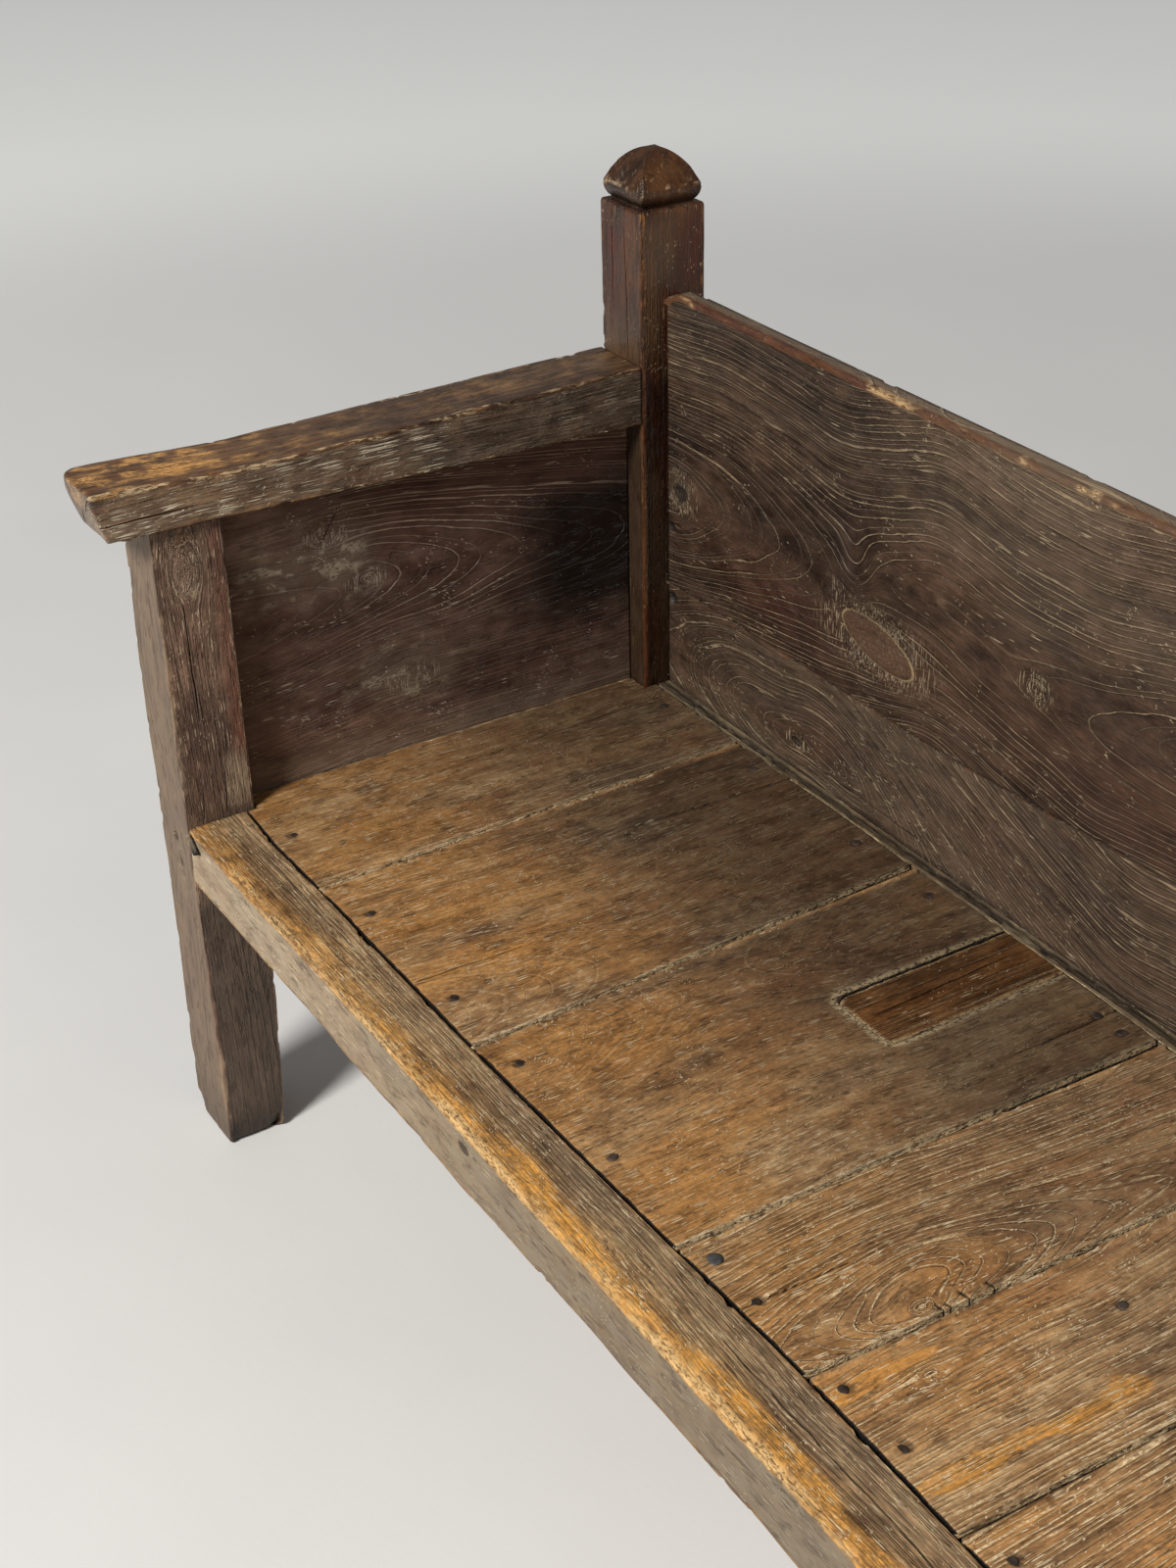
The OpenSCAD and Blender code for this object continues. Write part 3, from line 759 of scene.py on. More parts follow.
def newMaterial(name):
    material = bpy.data.materials.new(name)
    material.use_nodes = True
    return material, material.node_tree, material.node_tree.nodes["Principled BSDF"]


def timberFinish(name, look):
    material, tree, shader = newMaterial(name)
    wood = readTimber(tree, look)
    connect(tree, shader, {
        "Base Color": timberColour(tree, look, wood), "Roughness": timberGloss(tree, look, wood),
        "Specular IOR Level": look["shine"], "Normal": timberBump(tree, look, wood)})
    return material


dirtColour = "#0b0705"
seatLook = {
    "dark": "#5f4228", "middle": "#8f6a43", "light": "#b08c5f", "stainSize": 1.0, "softness": 0.75,
    "gold": 0.9, "goldColour": "#b57e38", "red": 0.75, "redColour": "#84522f",
    "dust": 0.6, "dustColour": "#857460", "worn": 0.9, "wornColour": "#c2ad8c", "breakup": 1.3,
    "crustColour": "#e2c698", "pitColour": "#5a4428", "knotColour": "#3a2718",
    "fibre": 0.14, "streak": 0.13, "speck": 0.2, "fineness": 1.0, "check": 0.5, "checkColour": "#3a2412",
    "ringSpacing": 0.0042, "ringWidth": 0.0014, "ringShake": 0.25, "ringBroken": 0.9, "ring": 0.9,
    "ringColour": "#d8bd92", "valley": 0.42, "year": 0.06,
    "strokes": 0.34, "strokeLength": 1.0, "scratches": 0.15, "stroke": 0.9, "strokeColour": "#d3be9a",
    "tufts": 0.0, "roughness": 0.48, "shine": 0.45,
    "bump": 0.9, "ringBump": 0.9, "fibreBump": 0.6, "streakBump": 0.5, "speckBump": 0.8,
}
railLook = dict(
    seatLook, dark="#6f4f31", middle="#987349", light="#b79567", softness=0.3, gold=1.0, goldColour="#cf9240",
    redColour="#552d14", ring=0.5, ringColour="#c5a97f", ringSpacing=0.0044, ringShake=0.35, valley=0.5,
    year=0.12, fibre=0.2, streak=0.16, dust=0.95, dustColour="#a3937b", worn=0.85, wornColour="#c99f62",
    breakup=1.6, crustColour="#dcb67e", pitColour="#4a2b14", strokes=0.3, roughness=0.52, ringBump=1.2)
postLook = dict(
    seatLook, dark="#4b382e", middle="#674f40", light="#846854", fibre=0.16, speck=0.08, streak=0.14,
    gold=0.6, goldColour="#8f6338", redColour="#6e3826", ring=0.3, ringColour="#95806c", ringSpacing=0.005,
    valley=0.4, strokes=0.45, strokeLength=1.4, scratches=0.1, stroke=0.6, strokeColour="#b8a588",
    dust=0.9, dustColour="#87745f", worn=0.6, wornColour="#9c8265", crustColour="#8b7a64", tufts=1.0,
    roughness=0.5, shine=0.4)
backPostLook = dict(
    postLook, dark="#2b180b", middle="#482a14", light="#5e3c20", goldColour="#8d5f2f", redColour="#471f12",
    ringColour="#6f5643", dustColour="#5f4a35", worn=0.55, wornColour="#946536", strokes=0.05,
    scratches=0.05, strokeColour="#a8946f", roughness=0.28, shine=0.35)
# the pale worn colour along the arm's inner top arris is partly wear and partly a painted highlight
armLook = dict(
    seatLook, dark="#3c2616", middle="#6a4a30", light="#957049", softness=0.2, gold=1.0,
    goldColour="#cb9452", redColour="#4c2714", fibre=0.18, streak=0.16, ring=0.3, ringColour="#a58a66",
    ringWidth=0.0012, ringShake=0.4, strokes=0.75, strokeLength=2.2, strokeColour="#ddd0b6", dust=0.85,
    dustColour="#7f7263", worn=0.8, wornColour="#d9bd92", breakup=1.7, crustColour="#c9995c",
    roughness=0.28, shine=0.6, ringBump=0.8, fibreBump=0.9)
panelLook = dict(
    seatLook, dark="#35211d", middle="#4f382f", light="#694f43", fibre=0.08, streak=0.1, speck=0.06,
    gold=0.5, goldColour="#7d6249", redColour="#4c2420", ring=0.95, ringColour="#9a8673",
    ringSpacing=0.0034, ringWidth=0.0010, ringShake=0.1, ringBroken=0.45, valley=0.35, strokes=0.02,
    scratches=0.05, strokeColour="#ab9e8a", dust=0.85, dustColour="#6c5e4d", worn=0.4,
    wornColour="#7a6450", check=0.1, crustColour="#a39680", tufts=0.7, roughness=0.36, shine=0.5,
    ringBump=0.5, fibreBump=0.2, streakBump=0.3, speckBump=0.2)
backLook = dict(
    seatLook, dark="#21150e", middle="#3a281b", light="#50392a", softness=0.7, fibre=0.16, streak=0.12,
    speck=0.12, gold=0.95, goldColour="#b5743a", redColour="#452216", ring=0.95, ringColour="#927e63",
    ringSpacing=0.0040, ringWidth=0.0009, ringShake=0.14, ringBroken=0.55, valley=0.45, year=0.1,
    strokes=0.02, scratches=0.05, stroke=0.75, strokeColour="#ac9a7c", tufts=1.0, dust=0.7,
    dustColour="#685745", worn=0.8, wornColour="#66462e", check=0.3, crustColour="#c2a577",
    plugColour="#563d2c", plugEdge="#95805e", knotColour="#1a110c", roughness=0.46, ringBump=1.1,
    fibreBump=0.5)
patchLook = dict(
    seatLook, dark="#43290f", middle="#613c1b", light="#7a5028", goldColour="#8f6030", strokes=0.1,
    scratches=0.1, ring=0.3, ringSpacing=0.004, worn=0.5, wornColour="#b08a5c", roughness=0.4, shine=0.5,
    fibre=0.22)
hiddenLook = dict(
    seatLook, dark="#42352a", middle="#5f4d38", light="#786249", gold=0.2, strokes=0.3,
    strokeColour="#9a8b72", dust=0.8, dustColour="#7d6c52", wornColour="#8a765c", crustColour="#8a765c",
    roughness=0.68, shine=0.25)
pegLook = dict(
    seatLook, dark="#33261d", middle="#4b392b", light="#6a5541", strokes=0.1, ringSpacing=0.0016,
    wornColour="#7d6a55", roughness=0.6, fibreBump=0.5)
ironLook = {
    "rust": ("#2a201a", "#4d3e33"), "scale": ("#363534", "#585959"), "bloom": "#3f2819",
    "roughness": (0.5, 0.8), "metallic": 0.4, "bump": 0.6,
}


def nailFinish(name, look):
    # old forged iron: most heads are brown with rust, a few still show a blue-grey scale
    material, tree, shader = newMaterial(name)
    grain = readField(tree, "grain")
    scale = apart(tree, readField(tree, "scale"))[0]
    rough = roundNoise(tree, grain, 420.0, 6.0, 0.7)
    broad = roundNoise(tree, grain, 90.0, 3.0)
    rust, steel = (blendColour(tree, spread(tree, broad, 0.35, 0.65), *map(paint, look[kind]))
                   for kind in ("rust", "scale"))
    colour = blendColour(tree, scale, rust, steel)
    colour = blendColour(tree, spread(tree, rough, 0.5, 0.72), colour, paint(look["bloom"]))
    bump = put(tree, "Bump", {"Height": rough, "Strength": look["bump"], "Distance": 0.0008}).outputs[0]
    connect(tree, shader, {
        "Base Color": colour, "Metallic": look["metallic"], "Normal": bump,
        "Roughness": spread(tree, rough, 0.3, 0.7, *look["roughness"])})
    return material


finishes = {
    "post": timberFinish("hewnPostOak", postLook),
    "backPost": timberFinish("darkPostOak", backPostLook),
    "rail": timberFinish("wornRailOak", railLook),
    "arm": timberFinish("polishedArmOak", armLook),
    "panel": timberFinish("darkPanelElm", panelLook),
    "back": timberFinish("weatheredBackPine", backLook),
    "seat": timberFinish("seatPine", seatLook),
    "patch": timberFinish("patchOak", patchLook),
    "hidden": timberFinish("dustyFrameOak", hiddenLook),
    "peg": timberFinish("pegOak", pegLook),
    "nail": nailFinish("forgedIron", ironLook),
}
print("finishes are built:", len(finishes))


def atEnd(plan, side, seed):
    # what sets a piece at one end apart: the right one is drawn as the left one and then mirrored
    return dict(plan, name=side + plan["name"], node=side + plan["node"], mirrored=side == "right", seed=seed)


def bothEnds(make, seed):
    make("left", seed)
    make("right", seed + 1)


frontPost = {
    "name": "FrontPost", "node": "_front_post", "slot": "post_wood", "finish": "post", "axes": "zxy",
    "outer": profile([(0, 2), (6, 0), (225, 0), (410, -2), (573, -6), (armUnder, -5)]),
    "inner": profile([(0, 86), (6, 92), (172, 88), (338, 80), (410, 80), (583, 76), (armUnder, 73)]),
    "backFace": profile([(0, 64), (6, 69), (169, 77), (338, 79), (armUnder, 79)]),
    "step": 3.2, "foot": (5, 20), "footWear": 9,  # the foot's rounding, its rows, and how much it has lost
    "spacing": [3, 3, 4, 4], "glow": [0.4, 0.65, 0.45, 0.3], "glowReach": 2.0, "chips": 1.4,
    "relief": [(2.6, 150, 70), (0.9, 60, 11), (0.35, 18, 4)],
    "heart": (38, 92), "bend": 7,
    "knots": [knotAt((690, 34), 13, dark=0.5, axis=1, faces=(1,)),
              knotAt((352, 46), 7, dark=0.7, faces=(0,))],
    "cracks": [crackAlong(1, [(412, 22), (450, 23)], 0.5, 1.5, fade=(4, 30)),
               crackAlong(1, [(412, 48), (470, 49)], 0.6, 1.5, fade=(4, 40)),
               crackAlong(1, [(520, 30), (660, 28)], 0.7, 2)],
    "handled": 30,  # hand and sleeve reach only the part that starts here above the seat
    "redStrip": (58, 68), "darkFoot": (300, 335), "dustyFoot": (5, 70),
    "dustCorner": {"from": (44, 56), "low": (412, 420), "high": (462, 490)},
}


def frontPostZones(w, seed):
    plan, corner = frontPost, frontPost["dustCorner"]
    inner, front = flatOf(w, 1), (w["face"] == 0)
    z, x, y = w["s"], w["a"], w["d"]
    cloud, = clouds(w, seed + 5, (60, 25))
    handled = between(z, seatTop, seatTop + plan["handled"])
    gold = inner * handled * 0.35 * between(cloud, 0.1, 0.8)
    red = inner * handled * between(y, *plan["redStrip"]) * (0.6 + 0.5 * cloud)
    dust = front * (0.8 + 0.2 * cloud) + inner * (0.35 + 0.3 * cloud) * (1 - handled)
    heap = between(y, *corner["from"]) * between(z, *corner["low"]) * below(z, *corner["high"])
    dust = np.maximum(dust, inner * heap)
    # painted shade on the inner face below the seat rail
    shade = 0.45 * below(z, *plan["darkFoot"]) - 0.3 * handled + 0.1 * between(y, 40, 66)
    shade = inner * shade + 0.1 * front + below(z, *plan["dustyFoot"]) * (0.22 + 0.25 * cloud)
    lost = below(z, 0, 30) * (below(x, 0, 22) * front + 0.4 * inner)
    lost = lost + below(z, 0, 26) * between(y, 42, 70) * inner
    return {"gold": gold, "red": red, "dust": dust, "shade": np.clip(shade, -0.3, 0.85),
            "sink": plan["footWear"] * lost, "strokes": inner * (0.35 + 0.65 * handled) + 0.15 * front}


def makeFrontPost(side, seed):
    plan = frontPost
    growTimber(dict(
        atEnd(plan, side, seed),
        rows=rowsAlong(0, armUnder, plan["step"], plan["foot"]), zones=frontPostZones,
        corners=lambda z: fourSided(plan["outer"](z), plan["inner"](z), 0, plan["backFace"](z)),
        radii=[uneven(3.4, 1.4, 50, seed), uneven(3.6, 1.8, 40, seed + 1), 3, 3]))


backPost = {
    "name": "BackPost", "node": "_back_post", "slot": "post_wood", "finish": "backPost", "axes": "zxy",
    "step": 3.4, "foot": (4, 24),
    "spacing": [3, 3.4, 4, 4], "glow": [0.2, 0.6, 0.5, 0.2], "glowReach": 1.6, "chips": 1.2,
    "relief": [(1.0, 140, 60), (0.5, 60, 10), (0.25, 16, 5)],
    "heart": (45, backPostFront + 50), "bend": 5,
    "cracks": [crackAlong(0, [(780, 52), (930, 47)], 0.3, 0.8),
               crackAlong(0, [(840, 22), (946, 25)], 0.3, 0.8, fade=(40, 4))],
    "darkFront": (730, 780), "darkInner": (760, 800),  # painted shade below these heights, beside the arm and the panel
    "whiteStreaks": {"from": (618, 632), "above": (850, 880)},
}
finial = {  # heights of the shoulder and the top, half widths of the neck and the dome
    "shoulder": 953, "apex": backPostHigh[2], "neck": 31, "rim": 19, "halfWidth": 38.5, "roundness": 2.1,
    "rounding": 7, "chipsAt": 972,
}


def finialRows(plan, half):
    # place and inset of each row from the shoulder, over the neck and the dome, to the top
    base, top = plan["shoulder"], plan["apex"]
    neck, wide = half - plan["neck"], half - plan["halfWidth"]
    rim = base + plan["rim"]
    rows = [(base - 4.5, 0), (base - 2.2, 0.5), (base - 0.7, 1.6), (base, 3.2), (base + 0.1, neck - 2.2),
            (base + 0.5, neck), (base + 2, neck)]
    for z in np.linspace(base + 4, rim - 3.4, 6):
        rows.append((z, neck + (wide - neck) * between(z, base - 3, rim - 3)))
    rows += [(rim - 2, wide + 0.4), (rim - 0.4, wide)]
    for t in np.cos(np.linspace(0.12, 1.52, 18)):
        rows.append((rim + (top - rim) * (1 - t ** plan["roundness"]), half - t * plan["halfWidth"]))
    return rows


def backPostZones(w, seed):
    plan, shoulder = backPost, finial["shoulder"]
    z, y = w["s"], w["d"]
    front, inner = flatOf(w, 0), flatOf(w, 1)
    cloud, flake = clouds(w, seed + 5, (70, 22), (4, 7))
    dome = between(z, shoulder - 2, shoulder + 6)
    red = (0.25 + 0.75 * between(cloud, 0.0, 0.5)) * (1 - dome)
    # pale chips round the rim of the dome, partly wear and partly a painted highlight on the glossy lip
    chips = dome * between(flake, 0.2, 0.5) * spot(z, 0, (finial["chipsAt"], 0), (5, 1))
    gold = dome * 0.2 * between(cloud, 0.0, 0.6) + 0.9 * chips
    dust = (inner * 0.5 * between(-cloud, -0.3, 0.3) + 0.12 * between(-cloud, 0.1, 0.5)) * (1 - dome)
    dust = np.maximum(dust, front * 0.8 * below(z, 800, 850))
    # painted shade below the arm, below the seat, in the corner by the back board and in the neck under the
    # finial's rim
    shade = front * 0.6 * below(z, *plan["darkFront"]) + inner * (0.9 * below(z, *plan["darkInner"]) - 0.25)
    shade += 0.3 * below(z, 390, 410) + 0.36 * dome - 0.6 * chips
    shade += inner * 0.25 * below(y, 563, 575) + 0.5 * below(abs(z - shoulder - 3), 2, 7)  # and painted shade in the neck under the rim
    streaks = between(y, *plan["whiteStreaks"]["from"]) * inner * between(z, *plan["whiteStreaks"]["above"])
    return {"red": red, "gold": gold, "dust": dust, "shade": np.clip(shade, -0.25, 0.85),
            "crust": 0.8 * chips, "figured": 1 - dome, "strokes": 1 + 12 * streaks * (1 - dome),
            "unworn": np.maximum(dome, 0.75 * below(z, 770, 800))}


def makeBackPost(side, seed):
    plan, shoulder = backPost, finial["shoulder"]
    straight = rowsAlong(0, shoulder - 5, plan["step"], plan["foot"])
    rounding = uneven(3.6, 1.0, 30, seed)
    growTimber(dict(
        atEnd(plan, side, seed),
        rows=np.concatenate([straight[:-1], finialRows(finial, postWidth / 2)]), zones=backPostZones,
        corners=lambda z: fourSided(0, postWidth, backPostFront, backPostBack),
        radii=[lambda z: rounding(z) + finial["rounding"] * between(z, shoulder, shoulder + 32)] * 4))


bothEnds(makeFrontPost, 3)
bothEnds(makeBackPost, 5)
print("posts are made")


tenonGap = 0.5  # rails, arms and panels run this far into the posts
frontRail = {
    "node": "front_seat_rail", "slot": "rail_wood", "finish": "rail", "axes": "xyz", "step": 2.8,
    # the line where the boards start, behind the strip of rail that shows
    "seam": profile([(79, 67), (157, 62.5), (260, 64), (568, 63.5), (883, 69), (1050, 72), (1222, 70),
                     (1500, 66), (1904, 66)]),
    "spacing": [9, 9, 9, 5, 2.4, 2.6], "glow": [0.3, 0, 0, 0, 0.1, 0.35], "glowReach": 1.8, "chips": 2.0,
    "relief": [(1.3, 170, 60), (0.9, 80, 5), (0.5, 22, 3)],
    "heart": (profile([(79, -150), (900, -146), (1904, -156)]), 376), "bend": 5,
    "knots": [knotAt((854, 23), 3, dark=0.62, faces=(4,)),
              knotAt((893, 17), 3, dark=0.6, faces=(4,)),
              knotAt((1290, 30), 4, dark=0.6, faces=(4,)),
              knotAt((663, 388), 5, axis=1, faces=(5,)),
              knotAt((1610, 40), 5, dark=0.7, faces=(4,))],
    "cracks": [crackAlong(5, [(80, 404), (96, 398), (118, 384)], 2.0, 4, fade=(1, 12), wander=0.6),
               crackAlong(5, [(652, 392), (668, 384)], 1.2, 3, fade=(5, 5), wander=0.3),
               crackAlong(4, [(86, 50), (330, 46)], 0.7, 2, wander=2.0),
               crackAlong(4, [(980, 44), (1420, 40)], 0.7, 2, wander=2.0)],
    "band": (18, 28),  # the polished band on the front of the top ends raggedly between these
    "bandFades": (420, 700), "darkEnd": (200, 900), "redSpot": ((95, 402), (26, 9)),
}
seam = frontRail["seam"]


def frontRailZones(w, seed):
    plan = frontRail
    x, y, z = w["s"], w["a"], w["d"]
    top, front = flatOf(w, 4), flatOf(w, 5)
    arris = arrisOf(w, 5)
    cloud, fine, pit, lump = clouds(w, seed + 5, (75, 14), (26, 7), (11, 6), (7, 4))
    edge = y + 9 * cloud + 5 * fine
    polished = 1 - between(edge, *plan["band"])
    fresh = 0.5 + 0.6 * between(x, *plan["bandFades"])
    gold = (top + arris) * polished * fresh * (0.9 + 0.4 * fine)
    lowEdge = top * below(y, 5, 12) + arris
    rough = lowEdge * between(cloud + 0.8 * fine, -0.2, 0.4)
    pits = lowEdge * between(pit + 0.4 * fine, 0.3, 0.6)
    dust = front * (0.9 + 0.2 * cloud) + top * 0.3 * between(edge, 26, 50)
    red = np.maximum(pits, front * spot(x, z, *plan["redSpot"]))
    shade = (w["face"] == 0) * 0.3 + 0.12 * top * between(y, 54, 66)
    # painted shade along the front face, darker towards the right where the light falls off
    shade = shade + front * (0.48 * between(x, *plan["darkEnd"]) - 0.04)
    behind = between(y, seam(x) - 3.5, seam(x) - 0.5) * top * 0.5  # dirt along the boards' ends
    return {"gold": gold, "dust": dust, "red": red, "shade": shade, "crust": rough * 0.8, "dirt": behind,
            "sink": 1.6 * pits + rough * (0.9 + 0.8 * lump), "figured": 0.3 + 0.7 * between(edge, 16, 32)}


def makeFrontRail(seed):
    plan, lap = frontRail, railHigh[1]
    worn = uneven(1, 1, 55, seed + 2)

    def corners(x):
        return [(0, railBottom + 2.2 * worn(x)), (lap, railBottom), (lap, boardUnder), (seam(x), boardUnder),
                (seam(x), seatTop), (0, seatTop)]

    growTimber(dict(
        plan, name="frontRail", seed=seed, corners=corners, zones=frontRailZones,
        rows=rowsAlong(postWidth - tenonGap, rightX - postWidth + tenonGap, plan["step"]),
        radii=[3.5, 2, 1, 0.5, 1.6, uneven(7, 3.5, 60, seed)]))


backRail = {
    "node": "back_seat_rail", "slot": "hidden_frame_wood", "finish": "hidden", "axes": "xyz", "step": 4,
    "radii": [3, 5, 5, 1.5, 0.5, 1], "spacing": [12, 7, 2, 12, 16, 16],
    "glow": [0.3, 0.5, 0.5, 0.1, 0, 0], "chips": 1.5, "relief": [(1.4, 150, 60), (0.7, 60, 9)],
    "heart": (600, 280), "bend": 8,
}


def backRailZones(w, seed):
    # the narrow strip between the boards' ends and the back boards holds dirt along both its sides
    y, boards = w["a"], lowerLow[1]
    strip = (w["face"] == 2) * below(y, boards, boards + 1)
    cloud, crumb = clouds(w, seed, (60, 20), (9, 5))
    edges = np.maximum(below(y, boardBack + 1.6, boardBack + 3.6), between(y, boards - 2.4, boards - 0.6))
    holes = between(crumb + 0.5 * cloud, 0.35, 0.6)
    return {"dust": 0.5 + 0.4 * cloud, "shade": strip * (0.62 - 0.3 * between(cloud, 0.1, 0.6)),
            "dirt": strip * np.maximum(edges, 0.8 * holes), "sink": strip * (2.5 * holes + 1.2 * (1 + crumb))}


def makeBackRail(seed):
    plan, ledge = backRail, boardBack + 1
    low, high = drawn(plan["node"])
    growTimber(dict(
        plan, name="backRail", seed=seed, zones=backRailZones,
        rows=rowsAlong(postWidth - tenonGap, rightX - postWidth + tenonGap, plan["step"]),
        corners=lambda x: [(low[1], railBottom), (high[1], railBottom), (high[1], seatTop), (ledge, seatTop),
                           (ledge, boardUnder), (low[1], boardUnder)]))


sideRail = {
    "name": "SeatRail", "node": "_seat_rail", "slot": "hidden_frame_wood", "finish": "hidden",
    "axes": "yxz", "step": 5,
    "radii": [4, 3, 1, 0.5, 2, 5], "spacing": [8, 8, 10, 8, 6, 4], "glow": [0.5, 0.2, 0, 0, 0.3, 0.8],
    "chips": 1.5, "relief": [(1.2, 120, 50), (0.7, 50, 8), (0.3, 16, 4)], "heart": (60, 300), "bend": 7,
}


def sideRailZones(w, seed):
    cloud, = clouds(w, seed, (60, 20))
    return {"dust": 0.6 + 0.4 * cloud}


def makeSideRail(side, seed):
    plan, outer, groove = sideRail, drawn("left_seat_rail")[0][0], panelLow[0]
    growTimber(dict(
        atEnd(plan, side, seed),
        rows=rowsAlong(frontPostBack - tenonGap, backPostFront + tenonGap, plan["step"]), zones=sideRailZones,
        corners=lambda y: [(outer, railBottom), (postWidth, railBottom), (postWidth, boardUnder),
                           (groove, boardUnder), (groove, seatTop), (outer, seatTop)]))


makeFrontRail(11)
makeBackRail(12)
bothEnds(makeSideRail, 13)
print("seat rails are made")


arm = {
    "name": "Arm", "node": "_arm", "slot": "arm_wood", "finish": "arm", "axes": "yxz", "step": 2.6,
    "front": armLow[1], "outer": armLow[0], "frontEnd": (2.5, 24), "cornerRadius": 22, "undercut": 14,
    "top": profile([(-54, 791), (-20, 790), (60, 786), (120, 784), (300, 787), (561, 790)]),
    "under": profile([(frontPostBack, armUnder), (backPostFront, armUnderBack)]),
    # the glow on the inner top arris is partly wear and partly a painted highlight
    "spacing": [4, 2.2, 2.8, 3], "glow": [0.2, 0.3, 0.7, 0.4], "glowReach": 1.1, "chips": 1.6,
    "relief": [(1.2, 160, 50), (1.0, 70, 5), (0.6, 24, 2.6)], "heart": (-60, 560), "bend": 5,
    "cracks": [crackAlong(1, [(-54, 756), (60, 757)], 0.8, 2, fade=(2, 40))],
    "goldFades": (40, 260), "crustFades": (20, 90), "streaksFade": (200, 420),
}


def armOuter(y):
    # the outer face, with the front corner rounded
    radius = arm["cornerRadius"]
    ahead = np.clip(radius - (y - arm["front"]), 0, radius)
    return arm["outer"] + radius - np.sqrt(radius ** 2 - ahead ** 2)


def armShift(y, x, z):
    # the front end leans back underneath
    depth = np.clip((armHigh[2] - 12 - z) / 42, 0, 1)
    fade = np.clip(1 - (y - arm["front"]) / 60, 0, 1)
    return arm["undercut"] * depth ** 1.2 * fade


def armZones(w, seed):
    y, x = w["s"], w["a"]
    top, inner = flatOf(w, 2), flatOf(w, 1)
    arris = arrisOf(w, 2)
    end = 1.0 * (y <= arm["front"] + 0.01)
    cloud, fine = clouds(w, seed + 5, (80, 26), (14, 8))
    patches = 0.7 * cloud + fine
    back = between(y, *arm["goldFades"])
    lip = between(x + 4 * cloud, 56, 66) * top * between(y, 0, 60)
    gold = top * (0.2 + 0.8 * between(patches, -0.15, 0.35)) * (1 - 0.8 * back)
    red = np.maximum(lip * (0.9 + 0.3 * fine), top * between(-patches, 0.0, 0.5) * (1 - 0.2 * back))
    red = np.maximum(red, arris * between(fine, 0.0, 0.5))
    # the grey over the back of the top is partly dust and partly a painted sheen
    dust = np.maximum(inner * (0.6 + 0.3 * cloud), end * 0.6) + 0.12 * top * back
    shade = top * (0.3 * back + 0.1 * between(y, 330, 500))
    shade = shade + inner * (0.15 * back + 0.3 * between(y, 300, 500) - 0.02)
    shade += (1 - top) * (1 - inner) * (1 - arris) * 0.2 * (1 - end) + arris * 0.2 * back
    rough = (arris + between(x, 60, 74) * top) * between(fine + 0.6 * cloud, 0.2, 0.6)
    rough = rough * below(y, *arm["crustFades"])
    streaks = inner * (0.5 + between(cloud, -0.4, 0.3)) * (1.25 - 0.8 * between(y, *arm["streaksFade"]))
    return {"gold": gold, "red": red, "dust": dust, "shade": shade, "crust": 0.8 * rough,
            "sink": 1.2 * between(fine, 0.3, 0.9) * arris, "strokes": streaks + 0.12 * top + end * 0.6,
            "unworn": arris * (0.35 + 0.4 * between(y, 240, 420))}


def makeArm(side, seed):
    plan = arm
    growTimber(dict(
        atEnd(plan, side, seed),
        rows=rowsAlong(plan["front"], backPostFront + tenonGap, plan["step"], plan["frontEnd"]),
        corners=lambda y: fourSided(armOuter(y), postWidth, plan["under"](y), plan["top"](y)),
        radii=[3.5, 2.5, uneven(4.5, 2.0, 40, seed), uneven(7, 2, 40, seed + 1)],
        shift=armShift, zones=armZones))


sidePanel = {
    "name": "SidePanel", "node": "_side_panel", "slot": "panel_wood", "finish": "panel",
    "axes": "yzx", "step": 3, "groove": 4,
    "radii": [1, 1, 1, 1], "spacing": [3.4, 6, 3, 6], "glow": [0, 0, 0, 0],
    "relief": [(1.4, 170, 70), (0.25, 60, 9), (0.12, 16, 4)],
    "heart": (flowing([(70, 596), (275, 616), (386, 611), (541, 598)]),
              flowing([(70, -16), (348, -41), (417, -47), (488, -52), (541, -57), (600, -66)])),
    "bend": 2, "bulges": [((330, 560), (60, 25), -8)],
    "knots": [knotAt((240, 618), 9, dark=0.45), knotAt((196, 676), 9, dark=0.45),
              knotAt((284, 490), 11, dark=0.45)],
    "cracks": [crackAlong(2, [(190, 668), (216, 709)], 1.0, 2.5, fade=(8, 4), wander=2),
               crackAlong(0, [(120, 560), (420, 566)], 0.8, 2.5)],
    # strength, centre and size of the stains on its inner face
    "haze": [(0.9, (150, 650), (70, 34)), (0.9, (275, 500), (60, 34)), (0.6, (225, 640), (24, 40))],
    "redStains": [(0.6, (330, 690), (90, 30)), (0.5, (500, 620), (60, 90))],
}


def panelZones(w, seed):
    y, z = w["s"], w["a"]
    cloud, fine, crumb = clouds(w, seed + 5, (90, 45), (30, 18), (12, 7))
    haze = spots(y, z, sidePanel["haze"])
    dust = haze * (0.75 + 0.35 * fine) + 0.1 + 0.2 * cloud + 0.5 * below(z, 418, 450)
    red = spots(y, z, sidePanel["redStains"]) + 0.4 * between(cloud, 0, 0.6)
    # painted shade in the back corner of the inner face below the arm, painted light near the top where the
    # arm's shadow falls and beside the front post where the post's shadow falls, and lighter near the bottom
    deep = between(y, 380, 480) * between(z, 470, 540) * below(z, 640, 690) * (w["face"] == 2)
    shade = 0.92 * deep - 0.5 * between(z, 640, 700) * (0.6 + 0.4 * between(y, 200, 340))
    shade = shade - 0.45 * below(z, 440, 510) * (1 - between(y, 300, 420)) - 0.36 * below(y, 90, 170)
    plain = np.maximum(below(z, 535, 575), below(y, 170, 260)) * 0.75  # the grain barely shows there
    return {"dust": np.clip(dust, 0, 1), "red": red, "shade": np.clip(shade, -0.6, 0.93),
            "crust": 0.8 * haze * between(crumb + 0.4 * fine, 0.35, 0.6),
            "figured": 1 - np.maximum(plain, 0.5 * haze)}


